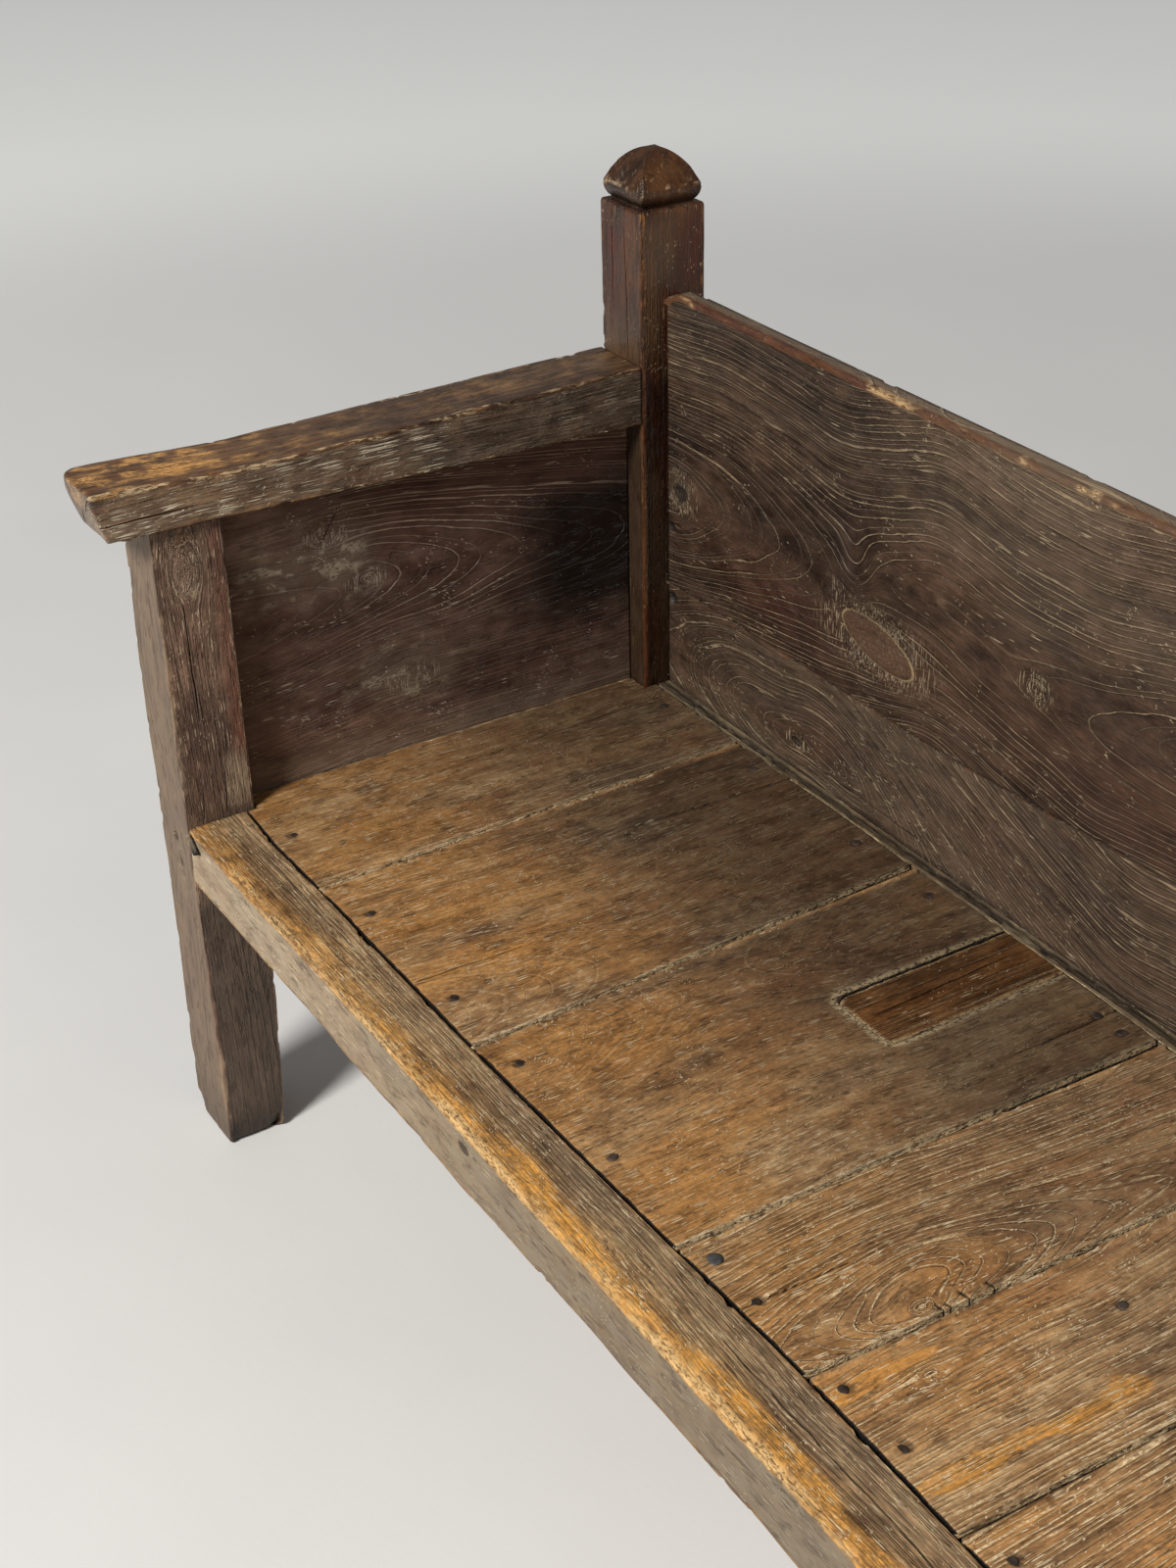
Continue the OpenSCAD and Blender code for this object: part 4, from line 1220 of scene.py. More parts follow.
def makeSidePanel(side, seed):
    plan = sidePanel
    growTimber(dict(
        atEnd(plan, side, seed),
        rows=rowsAlong(frontPostBack - tenonGap, backPostFront + tenonGap, plan["step"]), zones=panelZones,
        corners=lambda y: fourSided(seatTop - plan["groove"], arm["under"](y) + tenonGap,
                                    panelLow[0], panelHigh[0])))


bothEnds(makeArm, 21)
bothEnds(makeSidePanel, 23)
print("arms and side panels are made")


boardGap = 0.8  # the back boards run this far into the posts, and leave this much at their joint
jointHeight = profile([(68, 536), (400, 539), (581, 541), (747, 550), (877, 558), (1300, 556), (1916, 562)])
backSpan = (postWidth - boardGap, rightX - postWidth + boardGap)
upperBoard = {
    "node": "upper_back_board", "slot": "back_wood", "finish": "back", "axes": "xzy", "step": 3.1,
    "spacing": [2.6, 3.5, 4.2, 6], "glow": [0.1, 0.5, 0.3, 0.1], "glowReach": 2.0, "chips": 1.6,
    "relief": [(1.2, 220, 70), (0.7, 110, 5.5), (0.35, 40, 2.6)], "bend": 5,
    "heartHeight": flowing([(80, 640), (200, 655), (392, 650), (541, 690), (650, 672), (760, 662),
                            (950, 690), (1300, 715), (1600, 640), (1904, 655)]),
    "heartDepth": flowing([(80, 62), (200, 76), (392, 103), (445, 104), (541, 98), (664, 101), (800, 88),
                           (1100, 60), (1250, 75), (1500, 100), (1904, 70)]),
    "plug": {"at": (458, 613), "size": 21.5, "long": 2.75, "tilt": -0.19},  # let into the largest knot
    "knots": [knotAt((458, 613), 25, dark=0.5, long=2.4, faces=(0,)),
              knotAt((388, 646), 8, dark=0.5, long=1.6),
              knotAt((684, 664), 11, dark=0.5, long=1.4),
              knotAt((113, 652), 15, dark=0.78, long=1.3),
              knotAt((1180, 745), 17, dark=1.0), knotAt((1560, 620), 14, dark=1.0)],
    "bulges": [((420, 680), (28, 38), -30), ((300, 745), (110, 45), 7), ((545, 560), (120, 30), 10)],
    "cracks": [crackAlong(0, [(80, 706), (180, 702)], 0.9, 3, fade=(2, 40)),
               crackAlong(2, [(500, 700), (1300, 712)], 1.2, 4)],
    "worn": {"until": (82, 108), "front": 12, "back": 8},  # the top edge drops at its left end
    "hole": ((92, 605), (6, 5)), "shortEnd": (83, 87),
    "darkStains": [(0.3, (380, 650), (60, 25)), (0.28, (300, 810), (140, 60)), (0.3, (800, 590), (120, 40))],
}


def upperZones(w, seed):
    plan, plug = upperBoard, upperBoard["plug"]
    x, z, y = w["s"], w["a"], w["d"]
    cloud, fine, lumps = clouds(w, seed + 5, (140, 45), (40, 14), (13, 6))
    front, top = (w["face"] == 0), flatOf(w, 1)
    arris = arrisOf(w, 1)
    edge = top * below(y, upperLow[1] + 6, upperLow[1] + 7.5)
    band = np.maximum(arris, edge)  # the rubbed front of the top edge
    ledge = top * (1 - edge)  # and the dusty rest of it
    red = 0.6 * spot(x, z, (300, 590), (130, 40)) + 0.4 * between(cloud, 0.1, 0.6) * below(z, 600, 740)
    red = np.maximum(red, 1.3 * band) + 0.5 * spot(x, z, (850, 600), (200, 50))
    dust = 0.65 * between(z, 690, 800) * between(x, 300, 800) * (1 + 0.6 * cloud)
    dust = dust + 0.2 * between(cloud, 0, 0.6) + 1.2 * ledge
    shade = spots(x, z, plan["darkStains"]) + 0.2 * below(x, 90, 260) * below(z, 650, 780)
    shade = shade - 0.12 * front * between(x, 500, 900) - 0.25 * ledge
    chips = band * between(fine + 0.6 * lumps - 0.3 * below(x, 250, 420), 0.15, 0.45)
    shade = shade + 0.12 * arris - 0.5 * chips
    warm = band * (0.4 + 0.55 * between(lumps, -0.4, 0.4))
    gap = front * np.maximum(spot(x, z, *plan["hole"]), 1 - between(x, *plan["shortEnd"]))

    right, up = x - plug["at"][0], z - plug["at"][1]
    along, across = right + up * plug["tilt"], up - right * plug["tilt"]
    away = np.hypot(along / (plug["long"] * plug["size"]), across / plug["size"])
    groove = front * np.exp(-((away - 1.03) / 0.05) ** 2)
    return {"red": red, "dust": dust, "shade": np.clip(shade, -0.3, 0.8), "gold": np.maximum(chips, warm),
            "dirt": between(gap, 0.2, 0.6), "crust": 0.6 * chips,
            "sink": 7 * gap + 1.3 * groove + 1.2 * chips,
            "figured": (1 - band) * (1 - 0.7 * front * below(away, 1.4, 2.0)),
            "plug": front * np.clip(2.2 - away, 0, 2.2)}


def makeUpperBoard(seed):
    plan, low, high = upperBoard, upperLow, upperHigh

    def corners(x):
        worn = below(x, *plan["worn"]["until"])
        foot = jointHeight(x) + boardGap
        return [(foot, low[1]), (high[2] - plan["worn"]["front"] * worn, low[1]),
                (high[2] - plan["worn"]["back"] * worn, high[1]), (foot, high[1])]

    growTimber(dict(
        plan, name="upperBackBoard", seed=seed, rows=rowsAlong(*backSpan, plan["step"]), corners=corners,
        heart=(plan["heartHeight"], lambda x: low[1] + plan["heartDepth"](x)),
        radii=[2, uneven(5.5, 2.0, 45, seed), 4, 2], zones=upperZones))


lowerBoard = {
    "node": "lower_back_board", "slot": "back_wood", "finish": "back", "axes": "xzy", "step": 3,
    "radii": [1.2, 2.5, 2, 1.2], "spacing": [2.6, 6, 4.2, 6], "glow": [0.1, 0.2, 0.1, 0.1], "chips": 1.0,
    "relief": [(1.0, 200, 60), (0.6, 90, 5.5), (0.3, 36, 2.6)], "bend": 3,
    "heartHeight": flowing([(80, 455), (220, 455), (290, 446), (360, 458), (420, 445), (600, 375), (820, 300),
                            (1050, 330), (1300, 450), (1904, 480)]),
    "heartDepth": flowing([(80, 92), (174, 60), (224, 45), (253, 38), (300, 30), (400, 22), (560, 58),
                           (700, 80), (1050, 84), (1350, 50), (1904, 70)]),
    "knots": [knotAt((330, 446), 6, dark=0.9), knotAt((1420, 470), 12, dark=1.0)],
    "cracks": [crackAlong(0, [(300, 432), (560, 428)], 0.9, 3),
               crackAlong(2, [(700, 480), (1200, 476)], 1.0, 3)],
    "redStains": [(0.7, (370, 480), (60, 30)), (0.6, (640, 480), (70, 50))],
    "joint": 0.9, "hole": ((92, 517), (6, 6)), "shortEnd": (82, 86),
}


def lowerZones(w, seed):
    plan = lowerBoard
    x, z, front = w["s"], w["a"], (w["face"] == 0)
    cloud, fine = clouds(w, seed + 5, (110, 40), (40, 16))
    dust = 0.25 + 0.25 * cloud + 0.2 * below(z, 418, 452)
    red = spots(x, z, plan["redStains"]) + 0.4 * between(fine, 0.3, 0.9)
    gap = np.maximum(spot(x, z, *plan["hole"]), 1 - between(x, *plan["shortEnd"])) * front
    joint = 0.9 * between(z - jointHeight(x), -4.5, -2) * front  # a dark line below the upper board
    foot = 0.6 * below(z, seatTop + 2, seatTop + 6) * front
    shade = 0.1 * below(x, 80, 200) - 0.22 * below(z, 430, 470) * (1 - between(x, 500, 900))
    return {"dust": dust, "red": red, "shade": shade, "sink": 7 * gap,
            "dirt": np.maximum(np.maximum(between(gap, 0.2, 0.6), joint), foot)}


def makeLowerBoard(seed):
    plan, low, high = lowerBoard, lowerLow, lowerHigh
    growTimber(dict(
        plan, name="lowerBackBoard", seed=seed, rows=rowsAlong(*backSpan, plan["step"]), zones=lowerZones,
        corners=lambda x: fourSided(seatTop, jointHeight(x) - plan["joint"], low[1], high[1]),
        heart=(plan["heartHeight"], lambda x: low[1] + plan["heartDepth"](x))))


makeUpperBoard(31)
makeLowerBoard(32)
print("back boards are made")


def headsOf(node):
    # the middle of every nail head, from the CAD solids
    heads = []
    points = cadPoints(node)
    for point in points[points[:, 2] > seatTop - 0.5]:
        near = [head for head in heads if np.hypot(*(head[0][:2] - point[:2])) < 16]
        if near:
            near[0].append(point)
        else:
            heads.append([point])
    return sorted(tuple(np.mean([np.min(head, 0), np.max(head, 0)], 0)[:2]) for head in heads)


nailHeads = {node: headsOf(node) for node in ("front_seat_nails", "back_seat_nails")}
allNails = np.array(nailHeads["front_seat_nails"] + nailHeads["back_seat_nails"])

seatBoard = {
    "slot": "seat_wood", "finish": "seat", "axes": "yxz", "step": 3,
    "frontEnd": (1.8, 11), "backEnd": (2.0, 11),
    "spacing": [12, 1.8, 3, 7], "glow": [0, 0.1, 0.45, 0.1], "glowReach": 2.0, "chips": 1.2,
    "relief": [(0.9, 150, 50), (0.45, 60, 8), (0.25, 16, 3.4)], "bend": 5,
    # each board's left edge lies below its neighbour, whose edge stands bare and ragged above a dark gap
    "drop": 6.2, "reach": 7, "gap": 0.3, "lip": 0.5, "ragged": 0.7,
    "closer": 0.9,  # underneath they stand closer than on top, so that no light comes through
    "opensFrom": (250, 540), "nailHollow": (5, 8), "notchGap": 1,
}
# heart: its place across the board and its depth below the top along the board; dim: how much darker its top
# is at the front and towards the back, partly grime and partly painted shade;
# frontGap: its distance from the rail; opens: how much the gap on its right widens towards the back
seatBoards = {
    1: {"heart": (20, [(60, 150), (570, 150)]), "figured": 0.35, "dim": (0.02, 0.55), "frontGap": 1.2,
        "cracks": [crackAlong(2, [(250, 118), (568, 108)], 1.2, 4, fade=(60, 2))],
        "knots": [knotAt((300, 170), 7, dark=0.45)]},
    2: {"heart": (520, [(60, 120), (300, 160), (570, 130)]), "figured": 0.3, "dim": (-0.07, 0.8),
        "frontGap": 1.3, "opens": 2.4,
        "cracks": [crackAlong(2, [(330, 328), (578, 338)], 2.4, 12, fade=(90, 1)),
                   crackAlong(2, [(70, 452), (190, 455)], 0.8, 2, fade=(1, 60))],
        "knots": [knotAt((205, 392), 6, dark=0.55), knotAt((420, 470), 6, dark=0.45)]},
    3: {"heart": (600, [(60, 90), (300, 140), (570, 110)]), "figured": 0.25, "dim": (-0.08, 0.76),
        "frontGap": 1.6, "opens": 2.0,  # its first two cracks only crowd the lines at the patch's edges
        "cracks": [crackAlong(2, [(374, x), (578, x)], 0.1, 0.5, fade=(1, 1), wander=0.1)
                   for x in (683, 767)]
        + [crackAlong(2, [(440, 838), (578, 836)], 2.0, 9, fade=(60, 1))],
        "knots": [knotAt((205, 701), 6, dark=0.6), knotAt((300, 800), 5, dark=0.7)]},
    4: {"heart": (1026, [(60, 52), (120, 38), (188, 24), (262, 38), (380, 62), (570, 80)]), "figured": 1.0,
        "dim": (-0.14, 0.36), "grey": 0.2, "frontGap": 2.3,
        "cracks": [crackAlong(2, [(66, 968), (190, 972)], 1.2, 4, fade=(1, 50))],
        "knots": [knotAt((190, 1040), 7, dark=0.5)],
        "bulges": [((150, 1030), (45, 30), 9), ((240, 1000), (50, 30), -8)],
        "splits": [(201, 12), (208, 7), (226, 14), (250, 10)]},  # short cracks across its right edge
    5: {"heart": (1040, [(60, 70), (570, 80)]), "figured": 0.85, "dim": (-0.28, 0.4), "grey": 0.25,
        "frontGap": 2.2,
        "cracks": [crackAlong(2, [(380, 1150), (578, 1156)], 1.2, 4, fade=(60, 1))],
        "knots": [knotAt((150, 1100), 5, dark=0.6)],
        "bare": [(1, (105, 1080), (70, 12)), (1, (120, 1185), (60, 13)), (1, (235, 1190), (60, 15))]},
    6: {"heart": (1400, [(60, 100), (570, 60)]), "figured": 1.0, "dim": (-0.4, 0.5), "grey": 0.32,
        "frontGap": 1.8, "opens": 1.6,
        "cracks": [crackAlong(2, [(70, 1352), (300, 1346)], 1.3, 5, fade=(1, 70))],
        "knots": [knotAt((410, 1300), 10)]},
    7: {"heart": (1600, [(60, 60), (320, 30), (570, 70)]), "figured": 0.6, "dim": (-0.05, 0.55),
        "frontGap": 1.6,
        "cracks": [crackAlong(2, [(300, 1610), (578, 1618)], 1.6, 8, fade=(80, 1))],
        "knots": [knotAt((180, 1560), 8), knotAt((360, 1660), 6, dark=0.7)]},
    8: {"heart": (1960, [(60, 120), (570, 120)]), "figured": 0.5, "dim": (0.0, 0.6), "frontGap": 1.4,
        "cracks": [crackAlong(2, [(120, 1830), (360, 1822)], 0.9, 3)],
        "knots": [knotAt((300, 1860), 7)]},
}
firstBoard, patchedBoard, lastBoard = 1, 3, 8
patchLow, patchHigh = drawn("seat_patch")
patch = {
    "node": "seat_patch", "slot": "patch_wood", "finish": "patch", "axes": "yxz", "step": 1.6,
    "corner": 13.0,  # radius of its two front corners
    "pocket": 5.0, "gap": 1.2, "sunk": 0.9, "end": (1.2, 3),
    "radii": [0.6, 0.6, 1.6, 1.6], "spacing": [8, 3, 2.6, 3], "glow": [0, 0, 1.0, 1.0], "glowReach": 2.2,
    "chips": 0.8, "relief": [(0.5, 70, 30), (0.35, 40, 5), (0.2, 12, 2.6)], "heart": (720, 380), "bend": 4,
    "cracks": [crackAlong(2, [(384, 724), (560, 716)], 0.8, 1.5)],
}


def patchDistance(x, y):
    # how far a place lies outside the patch, below 0 inside
    across = np.maximum(patchLow[0] - x, x - patchHigh[0]) + patch["corner"]
    ahead = patchLow[1] - y + patch["corner"]
    inside = np.minimum(np.maximum(across, ahead), 0)
    return np.hypot(np.maximum(across, 0), np.maximum(ahead, 0)) + inside - patch["corner"]


def boardEdges(index):
    # lines of a board's long edges, from its own CAD solid
    points = cadPoints("seat_board_%d" % index)
    under = points[points[:, 2] < boardUnder + 0.5]
    ends = under[:, 1].min(), under[:, 1].max()
    rows = [under[np.abs(under[:, 1] - y) < 0.5, 0] for y in ends]
    low, high = [row.min() for row in rows], [row.max() for row in rows]
    if index == firstBoard:  # notched round the posts
        low = [under[:, 0].min()] * 2
    if index == lastBoard:
        high = [under[:, 0].max()] * 2
    return ends, low, high


def seatStains(plan, w, top, side, cloud, fine):
    # gold where sleeves rub the front, brown patches, and dust and darkening towards the back, the darkening
    # partly grime and partly painted shade by the back boards, with painted shadow near the side panel and
    # painted light on the sides of the steps
    y, x = w["s"], w["a"]
    worn = 1 - between(y, 150, 430)
    gold = top * (0.35 + 0.5 * cloud + 0.2 * fine) * worn
    if "bare" in plan:
        gold = np.maximum(gold, 1.6 * between(spots(y, x, plan["bare"]) + 0.3 * fine, 0.4, 0.6))
    red = top * (0.5 * between(fine, 0.1, 0.8) + 0.4) * between(cloud + 0.3 * fine, -0.5, 0.3)
    red = red * (1 - 0.5 * worn)
    dust = top * (0.15 + 0.4 * (1 - worn)) * (0.5 + 0.5 * between(-cloud, -0.3, 0.5))
    dust = np.maximum(dust, top * between(y, boardBack - 14, boardBack - 3) * 0.7)
    dust = np.maximum(dust, top * plan.get("grey", 0) * (0.7 + 0.3 * fine))
    dim, dimmer = plan["dim"]
    # darker towards the back, partly grime and partly painted shade, and painted shadow near the side panel
    shade = top * (dim + dimmer * between(y, 140, 470) + 0.1 * below(x, 90, 220))
    # painted light on the sides of the steps between boards, which the light barely reaches
    shade = shade + side * (0.9 * dimmer * between(y, 200, 500) - 0.28)
    return gold, red, np.maximum(dust, 0.15 * side), shade


def nailHollows(x, y, crumb):
    # how deep and how dirty the wood is round each nail
    deep, dirty = 0, 0
    low, high = seatBoard["nailHollow"]
    for headX, headY in allNails:
        away = np.hypot(x - headX, y - headY) + 0.8 * crumb
        deep = deep + below(away, low, high)
        dirty = np.maximum(dirty, 0.6 * below(away, low, high - 1))
    return deep, dirty


def seatZones(index, lowEdge, highEdge):
    plan = seatBoards[index]

    def zones(w, seed):
        y, x, z = w["s"], w["a"], w["d"]
        top, side = (w["face"] == 2), (w["face"] == 1)
        cloud, fine, crumb = clouds(w, seed + 5, (90, 45), (28, 14), (9, 4))
        beside, within, depth = x - lowEdge(y), highEdge(y) - x, seatTop - z
        gold, red, dust, shade = seatStains(plan, w, top, side, cloud, fine)
        lowered = (index > firstBoard) * top
        # painted shade along the lowered edge, at the foot of the neighbour's step
        shade = shade + 0.08 * lowered * np.exp(-beside / 3)
        lip = (0.65 + 0.5 * cloud + 0.5 * fine) * between(within, -1, 1) * top
        lip = lip * np.exp(-np.clip(within, 0, None) / 2.4)
        crust = np.clip(np.maximum(0.8 * lip, side * between(crumb + 0.4 * fine, -1.3, -0.4)), 0, 1)
        drop = seatBoard["drop"]
        sink = lowered * drop * np.exp(-np.clip(beside, 0, None) / seatBoard["reach"])
        sink = sink + (side + lip) * seatBoard["ragged"] * (1 + crumb)
        dirt = side * between(depth + 0.5 * crumb, drop + 1.2, drop + 2.0)
        dirt = np.maximum(dirt, top * between(boardFront - y, -1.5, -0.2))
        deep, dirty = nailHollows(x, y, crumb)
        sink, dirt = sink + top * deep, np.maximum(dirt, top * dirty)
        for place, length in plan.get("splits", []):
            split = below(abs(y - place + 0.1 * within), 0.5, 1.2) * below(within, length - 3, length)
            sink = sink + 2.0 * split * top
            dirt = np.maximum(dirt, 0.95 * split * (top + side))
        if index == patchedBoard:
            outside = patchDistance(x, y)
            frayed = outside + 1.6 * crumb + 1.4 * fine - 1.5 * spot(x, y, patchLow[:2], (26, 26))
            rim = between(outside, -0.5, 0.3) * below(frayed, 4.0, 7.5) * top
            sink = sink + top * patch["pocket"] * below(outside, -0.9, 0.6) + 0.8 * rim * (1 + crumb)
            crust = np.maximum(crust, rim)
            dirt = np.maximum(dirt, top * below(outside, -0.5, 0.5))
        return {"gold": gold, "red": red, "dust": dust, "shade": np.clip(shade, -0.4, 0.85), "sink": sink,
                "dirt": dirt, "crust": crust, "figured": plan["figured"] + 0.4 * top * np.exp(-within / 10),
                "strokes": 0.75 + 0.25 * plan["figured"] + 0.5 * side}
    return zones


def makeSeatBoard(index, seed):
    plan, shared = seatBoards[index], seatBoard
    (front, back), low, high = boardEdges(index)
    leftNotch, rightNotch = postWidth + shared["notchGap"], rightX - postWidth - shared["notchGap"]
    notchFront, notchBack = frontPostBack + shared["notchGap"], backPostFront - shared["notchGap"]
    ragged, frayed = uneven(0, 1, 45, seed), uneven(0, 0.7, 11, seed + 9)

    def opened(y, left):
        # the gap between the board on the left and the next widens towards the back
        return seatBoards.get(left, {}).get("opens", 0) * between(y, *shared["opensFrom"])

    def lowLine(y):
        return np.interp(y, [front, back], low)

    def highLine(y):
        return np.interp(y, [front, back], high)

    def lowEdge(y):
        return lowLine(y) + shared["gap"] * (1.5 + ragged(y + 300)) + opened(y, index - 1)

    def highEdge(y):
        return highLine(y) - shared["lip"] * (1.6 + ragged(y) + frayed(y)) - opened(y, index)

    def corners(y):
        lowUnder = lowLine(y) - shared["closer"] * (index > firstBoard)
        highUnder = highLine(y) + shared["closer"] * (index < lastBoard)
        return [(lowUnder, boardUnder), (highUnder, boardUnder),
                (highEdge(y), seatTop), (lowEdge(y), seatTop)]

    def clamp(y, x, z):
        # the first and last boards are notched round the posts
        beside = (y < notchFront) | (y > notchBack)
        x = np.where(beside & (index == firstBoard), np.maximum(x, leftNotch), x)
        x = np.where(beside & (index == lastBoard), np.minimum(x, rightNotch), x)
        return x, z

    def shift(y, x, z):
        # the front end follows the rail's edge and the back end is ragged
        fray = 0.8 * noiseAlong(0 * y, x, z, (1, 8, 30), seed + 10)
        start = (seam(x) + plan["frontGap"] + fray - front) * np.exp(-(y - front) / 50)
        end = -1.6 * (1 + noiseAlong(0 * y, x, z, (1, 9, 30), seed + 8)) * np.exp((y - back) / 10)
        return start + end

    extra = []  # more rows where a notch, the patch or a split needs them
    if index in (firstBoard, lastBoard):
        extra = [notchFront, notchFront + 0.01, notchBack, notchBack + 0.01]
    if index == patchedBoard:
        extra = [patchLow[1] + step for step in (-2, -1, -0.4, 0.2, 0.8, 1.6)]
    for place, _ in plan.get("splits", []):
        extra += [place + step for step in (-1.2, -0.6, 0, 0.6, 1.2)]
    heartDepth = flowing(plan["heart"][1])
    growTimber(dict(
        shared, name="seatBoard%d" % index, node="seat_board_%d" % index, seed=seed, corners=corners,
        rows=rowsAlong(front, back, shared["step"], shared["frontEnd"], shared["backEnd"], extra),
        radii=[0.5, 0.5, uneven(1.7, 0.7, 35, seed + 2), uneven(2.0, 0.8, 35, seed + 3)],
        heart=(plan["heart"][0], lambda y: seatTop - heartDepth(y)), knots=plan["knots"],
        bulges=plan.get("bulges", []), cracks=plan["cracks"],
        zones=seatZones(index, lowEdge, highEdge), shift=shift, clamp=clamp))


for index in seatBoards:
    makeSeatBoard(index, 40 + index)
print("seat boards are made")


def patchZones(w, seed):
    y, x = w["s"], w["a"]
    crumb, = clouds(w, seed + 7, (9, 4))
    rim = between(patchDistance(x, y) + 1.5 * crumb, -5.5, -2.0)
    shade = 0.12 + 0.3 * between(y, 400, 500) + 0.15 * spot(y, x, (450, 705), (60, 20))
    return {"shade": shade, "crust": 0.55 * rim, "sink": 0.6 * rim * (1 + crumb)}


def makePatch(seed):
    plan, low, high = patch, patchLow, patchHigh
    edge = uneven(0, 1.0, 16, seed)

    def corners(y):
        ahead = np.clip(plan["corner"] - (y - low[1]), 0, plan["corner"])
        rounded = plan["gap"] + plan["corner"] - np.sqrt(plan["corner"] ** 2 - ahead ** 2)
        left, right = low[0] + edge(y) + rounded, high[0] + edge(y + 200) - rounded
        return fourSided(left, right, low[2], high[2] - plan["sunk"])

    growTimber(dict(
        plan, name="seatPatch", seed=seed, corners=corners, zones=patchZones,
        rows=rowsAlong(low[1] + 1, high[1], plan["step"], plan["end"], plan["end"])))


makePatch(61)


def joinParts(parts):
    points, polygons, start = [], [], 0
    for partPoints, partPolygons in parts:
        points.append(partPoints)
        polygons += [[start + i for i in polygon] for polygon in partPolygons]
        start += len(partPoints)
    return np.concatenate(points), polygons


def turned(profileRows, spokes, wobble, rng):
    # a rod from rows of (radius, height), each spoke a little uneven
    angles = np.linspace(0, 2 * math.pi, spokes, endpoint=False)
    swell = 1 + wobble * rng.standard_normal(spokes)
    swell = (swell + np.roll(swell, 1) + np.roll(swell, -1)) / 3
    rows = [np.stack([r * swell * np.cos(angles), r * swell * np.sin(angles),
                      z + 0.1 * wobble * r * rng.standard_normal(spokes)], -1) for r, z in profileRows]
    last = (len(rows) - 1) * spokes
    polygons = [[i + j, i + (j + 1) % spokes, i + spokes + (j + 1) % spokes, i + spokes + j]
                for i in range(0, last, spokes) for j in range(spokes)]
    polygons += [list(range(spokes))[::-1], [last + j for j in range(spokes)]]
    return np.concatenate(rows), polygons


nail = {
    "slot": "nail_iron", "finish": "nail", "spokes": 18, "wobble": 0.12, "lean": 0.05, "shank": 2.2,
    "head": (4.3, 5.3), "scale": (0, 0.2), "sunk": (0.7, 1.2),  # least and most
    "big": {"at": (911, 200), "head": 7.2, "scale": 1.0, "sunk": 0.3},  # the one large head, in the front row
}


def nailRows(width, bottom, top):
    shank = nail["shank"]
    return [(0.5, bottom), (shank * 0.6, bottom + 8), (shank, bottom + 26), (shank, top - 2.4),
            (width * 0.9, top - 2.2), (width, top - 1.2), (width * 0.94, top - 0.4), (width * 0.7, top),
            (width * 0.3, top - 0.1)]


def makeNails(node, name, seed):
    rng = np.random.default_rng(seed)
    bottom, big = drawn(node)[0][2], nail["big"]
    parts, scales = [], []
    for x, y in nailHeads[node]:
        width, scale, sunk = (rng.uniform(*nail[key]) for key in ("head", "scale", "sunk"))
        if abs(x - big["at"][0]) < 4 and y < big["at"][1]:
            width, scale, sunk = big["head"], big["scale"], big["sunk"]
        top = seatTop - sunk
        points, polygons = turned(nailRows(width, bottom, top), nail["spokes"], nail["wobble"], rng)
        points[:, :2] *= 1 + rng.normal(0, nail["lean"], 2)
        tilt = rng.normal(0, nail["lean"], 2)
        points[:, 2] += points[:, :2] @ tilt * (points[:, 2] > top - 3)
        parts.append((points + [x, y, 0], polygons))
        scales += [scale] * len(points)
    points, polygons = joinParts(parts)
    fields = {"grain": points / metre + seed, "scale": np.stack([scales] * 3, -1)}
    makePiece(dict(nail, name=name, node=node), points, polygons, fields)


peg = {"slot": "peg_wood", "finish": "peg", "radius": 5.4, "spokes": 14, "wobble": 0.06, "rings": 11}
pegAxes = {"y": [0, 2, 1], "-y": [0, 2, 1], "x": [2, 1, 0]}  # which of the rod's own axes lies along each


def makePegs(name, node, ends, seed):
    # ends: where each peg starts, the way it points and its length, in the drawing of the left end
    rng = np.random.default_rng(seed)
    radius = peg["radius"]
    parts = []
    for mirrored in (False, True):
        for start, direction, length in ends:
            rows = [(radius * 0.75, -0.7), (radius * 0.94, -0.2), (radius, 0.6), (radius, length * 0.5),
                    (radius * 0.92, length)]
            points, polygons = turned(rows, peg["spokes"], peg["wobble"], rng)
            points = points[:, pegAxes[direction]] * [1, -1 if direction == "-y" else 1, 1] + start
            if mirrored:
                points[:, 0] = rightX - points[:, 0]
            if (direction in ("y", "x")) != mirrored:
                polygons = [polygon[::-1] for polygon in polygons]
            parts.append((points, polygons))
    points, polygons = joinParts(parts)
    zero = np.zeros(len(points))
    rings = np.hypot(points[:, 0] % peg["rings"], points[:, 2] % peg["rings"]) / metre
    fields = {"grain": points / metre + seed, "figure": np.stack([rings, zero + 1, zero + 1], -1),
              "marks": np.stack([zero, zero, zero + 1], -1)}
    makePiece(dict(peg, name=name, node=node), points, polygons, fields)


makeNails("front_seat_nails", "frontSeatNails", 71)
makeNails("back_seat_nails", "backSeatNails", 72)
sidePegs = seatTop - 42  # height of the pegs through the side rails' tenons
pegInset = 0.8  # how far these pegs lie inside the posts' outer faces
makePegs("railPegs", "rail_pegs", [
    ((39, 1.0, seatTop - 29), "y", 47),
    ((57, backPostBack - pegInset, seatTop - 36), "-y", 53),
    ((frontPost["outer"](sidePegs) + 1.0, frontPostBack - 14, sidePegs), "x", 56),
    ((pegInset, backPostFront + 14, sidePegs), "x", 56)], 73)
makePegs("armPegs", "arm_pegs", [((pegInset, backPostFront + 21, armHigh[2] - 32), "x", 56)], 74)
print("patch, nails and pegs are made")


floor = {
    "half": 30, "colours": ("#dddcda", "#e4e3e0"), "farColour": "#f3f3f1", "paler": (1.5, 5.0),
    "glow": "#fffffa", "glows": (3.6, 5.2), "glowStrength": 0.16,  # painted light: far off it is as light as a wall
    "roughness": 0.75, "bump": 0.12,
}


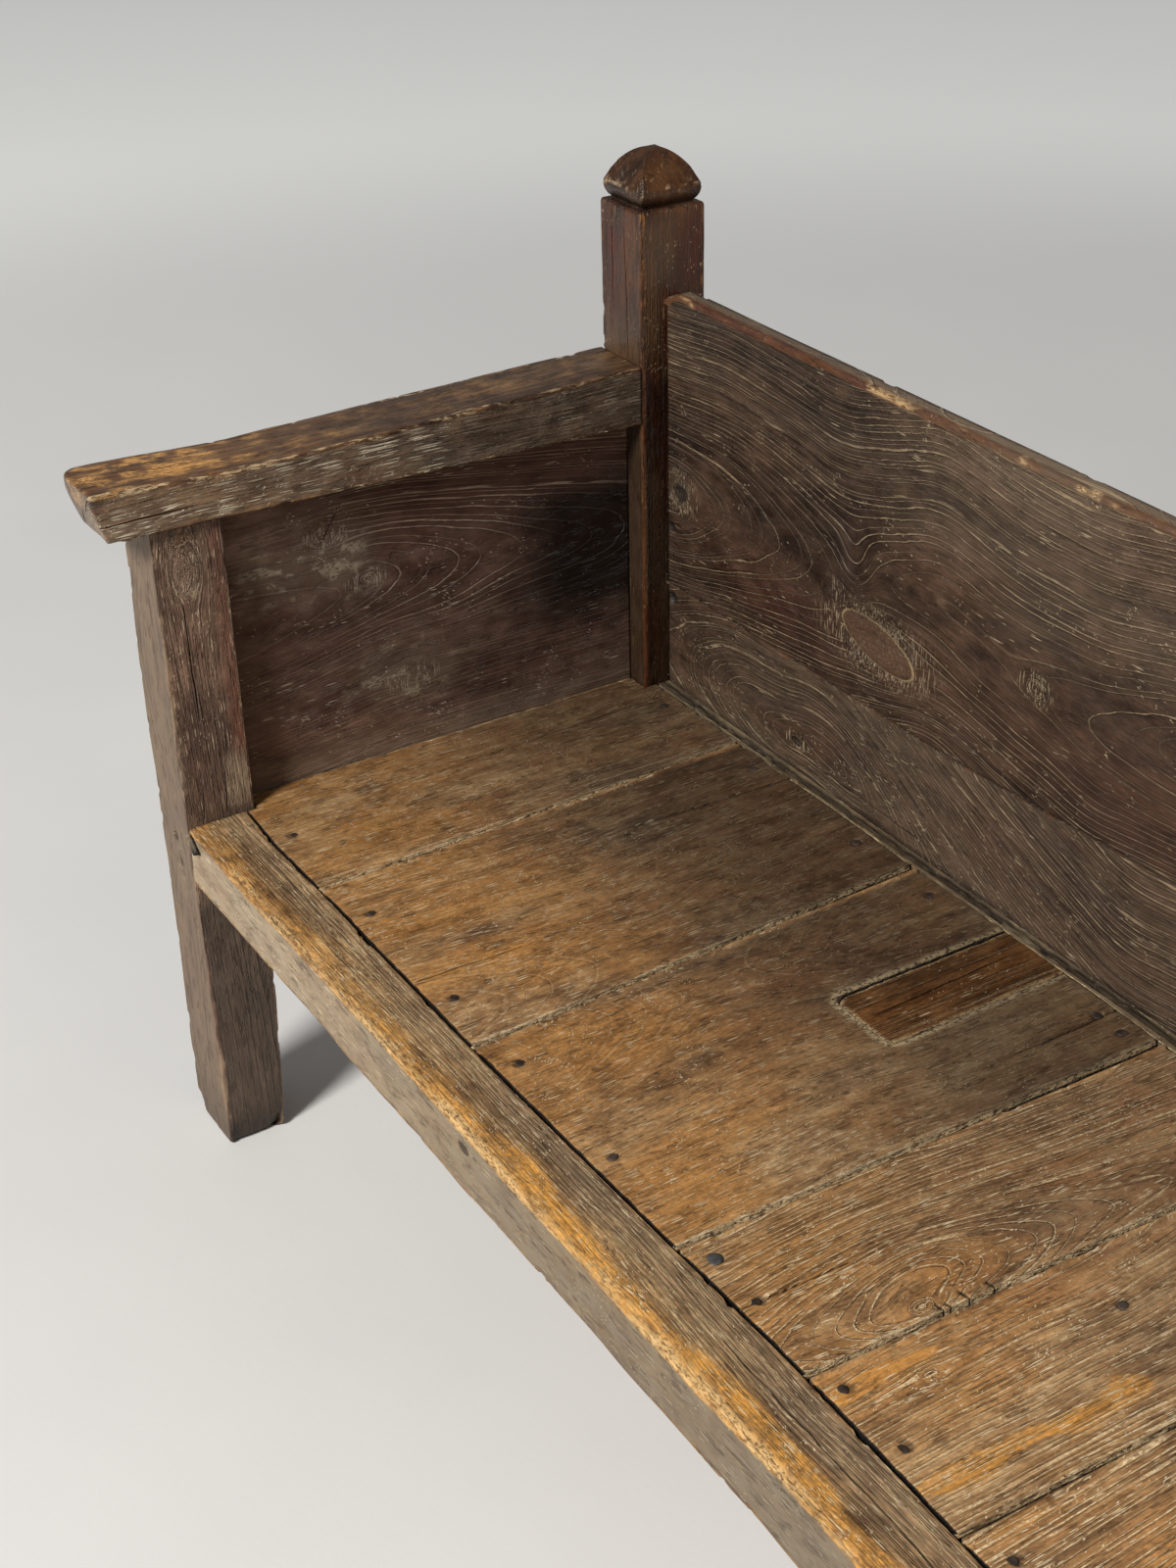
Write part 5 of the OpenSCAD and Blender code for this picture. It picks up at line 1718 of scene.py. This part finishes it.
def makeFloor(plan):
    material, tree, shader = newMaterial("paleFloor")
    place = put(tree, "TexCoord").outputs["Object"]
    distance = put(tree, "VectorMath", {0: place}, operation="LENGTH").outputs["Value"]
    broad, fine = roundNoise(tree, place, 1.3, 5.0), roundNoise(tree, place, 160.0, 3.0)
    colour = blendColour(tree, spread(tree, broad, 0.3, 0.7), *map(paint, plan["colours"]))
    # painted light: further off the floor turns paler and glows, where the lamp's light falls off
    colour = blendColour(tree, spread(tree, distance, *plan["paler"]), colour, paint(plan["farColour"]))
    glow = blendColour(tree, spread(tree, distance, *plan["glows"]), (0, 0, 0, 1), paint(plan["glow"]))
    bump = put(tree, "Bump", {"Height": fine, "Strength": plan["bump"], "Distance": 0.001}).outputs[0]
    connect(tree, shader, {
        "Base Color": colour, "Emission Color": glow, "Emission Strength": plan["glowStrength"],
        "Roughness": plan["roughness"], "Normal": bump})
    half = plan["half"]
    corners = [(-half, -half, 0), (half, -half, 0), (half, half, 0), (-half, half, 0)]
    mesh = bpy.data.meshes.new("floor")
    mesh.from_pydata(corners, [], [(0, 1, 2, 3)])
    thing = bpy.data.objects.new("floor", mesh)
    bpy.context.scene.collection.objects.link(thing)
    mesh.materials.append(material)


keyLight = {
    "target": Vector((-0.5, 0, 0.3)), "towards": Vector((0.31 * 0.74, -0.95 * 0.74, 0.67)), "distance": 9,
    "size": 2.2, "power": 905, "tint": (1.0, 0.985, 0.955),
}


def makeLight(name, plan):
    light = bpy.data.lights.new(name, "AREA")
    light.shape = "DISK"
    light.size = plan["size"]
    light.energy = plan["power"]
    light.color = plan["tint"]
    lamp = bpy.data.objects.new(name, light)
    bpy.context.scene.collection.objects.link(lamp)
    lamp.location = plan["target"] + plan["towards"] * plan["distance"]
    lamp.rotation_euler = (plan["target"] - lamp.location).to_track_quat("-Z", "Y").to_euler()


camera = {
    "place": (1.0457, -0.9837, 1.6337), "heading": 59.10, "down": 30.17, "roll": -1.44,  # metres and degrees
    "focalPixels": 2354.54, "imageHeight": 1600, "sensor": 36,
}


def makeCamera(plan):
    heading, down, roll = (math.radians(plan[k]) for k in ("heading", "down", "roll"))
    flat = Vector((-math.sin(heading), math.cos(heading), 0))
    ahead = math.cos(down) * flat - Vector((0, 0, math.sin(down)))
    level = Vector((math.cos(heading), math.sin(heading), 0))
    upright = level.cross(ahead)
    right = math.cos(roll) * level + math.sin(roll) * upright
    up = -math.sin(roll) * level + math.cos(roll) * upright
    data = bpy.data.cameras.new("camera")
    data.sensor_width = plan["sensor"]
    data.lens = plan["focalPixels"] * plan["sensor"] / plan["imageHeight"]
    data.clip_end = 200
    thing = bpy.data.objects.new("camera", data)
    bpy.context.scene.collection.objects.link(thing)
    turn = Matrix((right, up, -ahead)).transposed().to_4x4()
    thing.matrix_world = Matrix.Translation(plan["place"]) @ turn
    bpy.context.scene.camera = thing


room = {"colour": (0.97, 0.98, 1.0, 1), "strength": 0.21}


def makeWorld(plan):
    world = bpy.data.worlds.new("softRoom")
    world.use_nodes = True
    background = world.node_tree.nodes["Background"]
    background.inputs[0].default_value = plan["colour"]
    background.inputs[1].default_value = plan["strength"]
    bpy.context.scene.world = world


makeFloor(floor)
makeWorld(room)
makeLight("keyLight", keyLight)
makeCamera(camera)
bpy.context.scene.view_settings.view_transform = "Standard"
print("floor, light and camera are set")
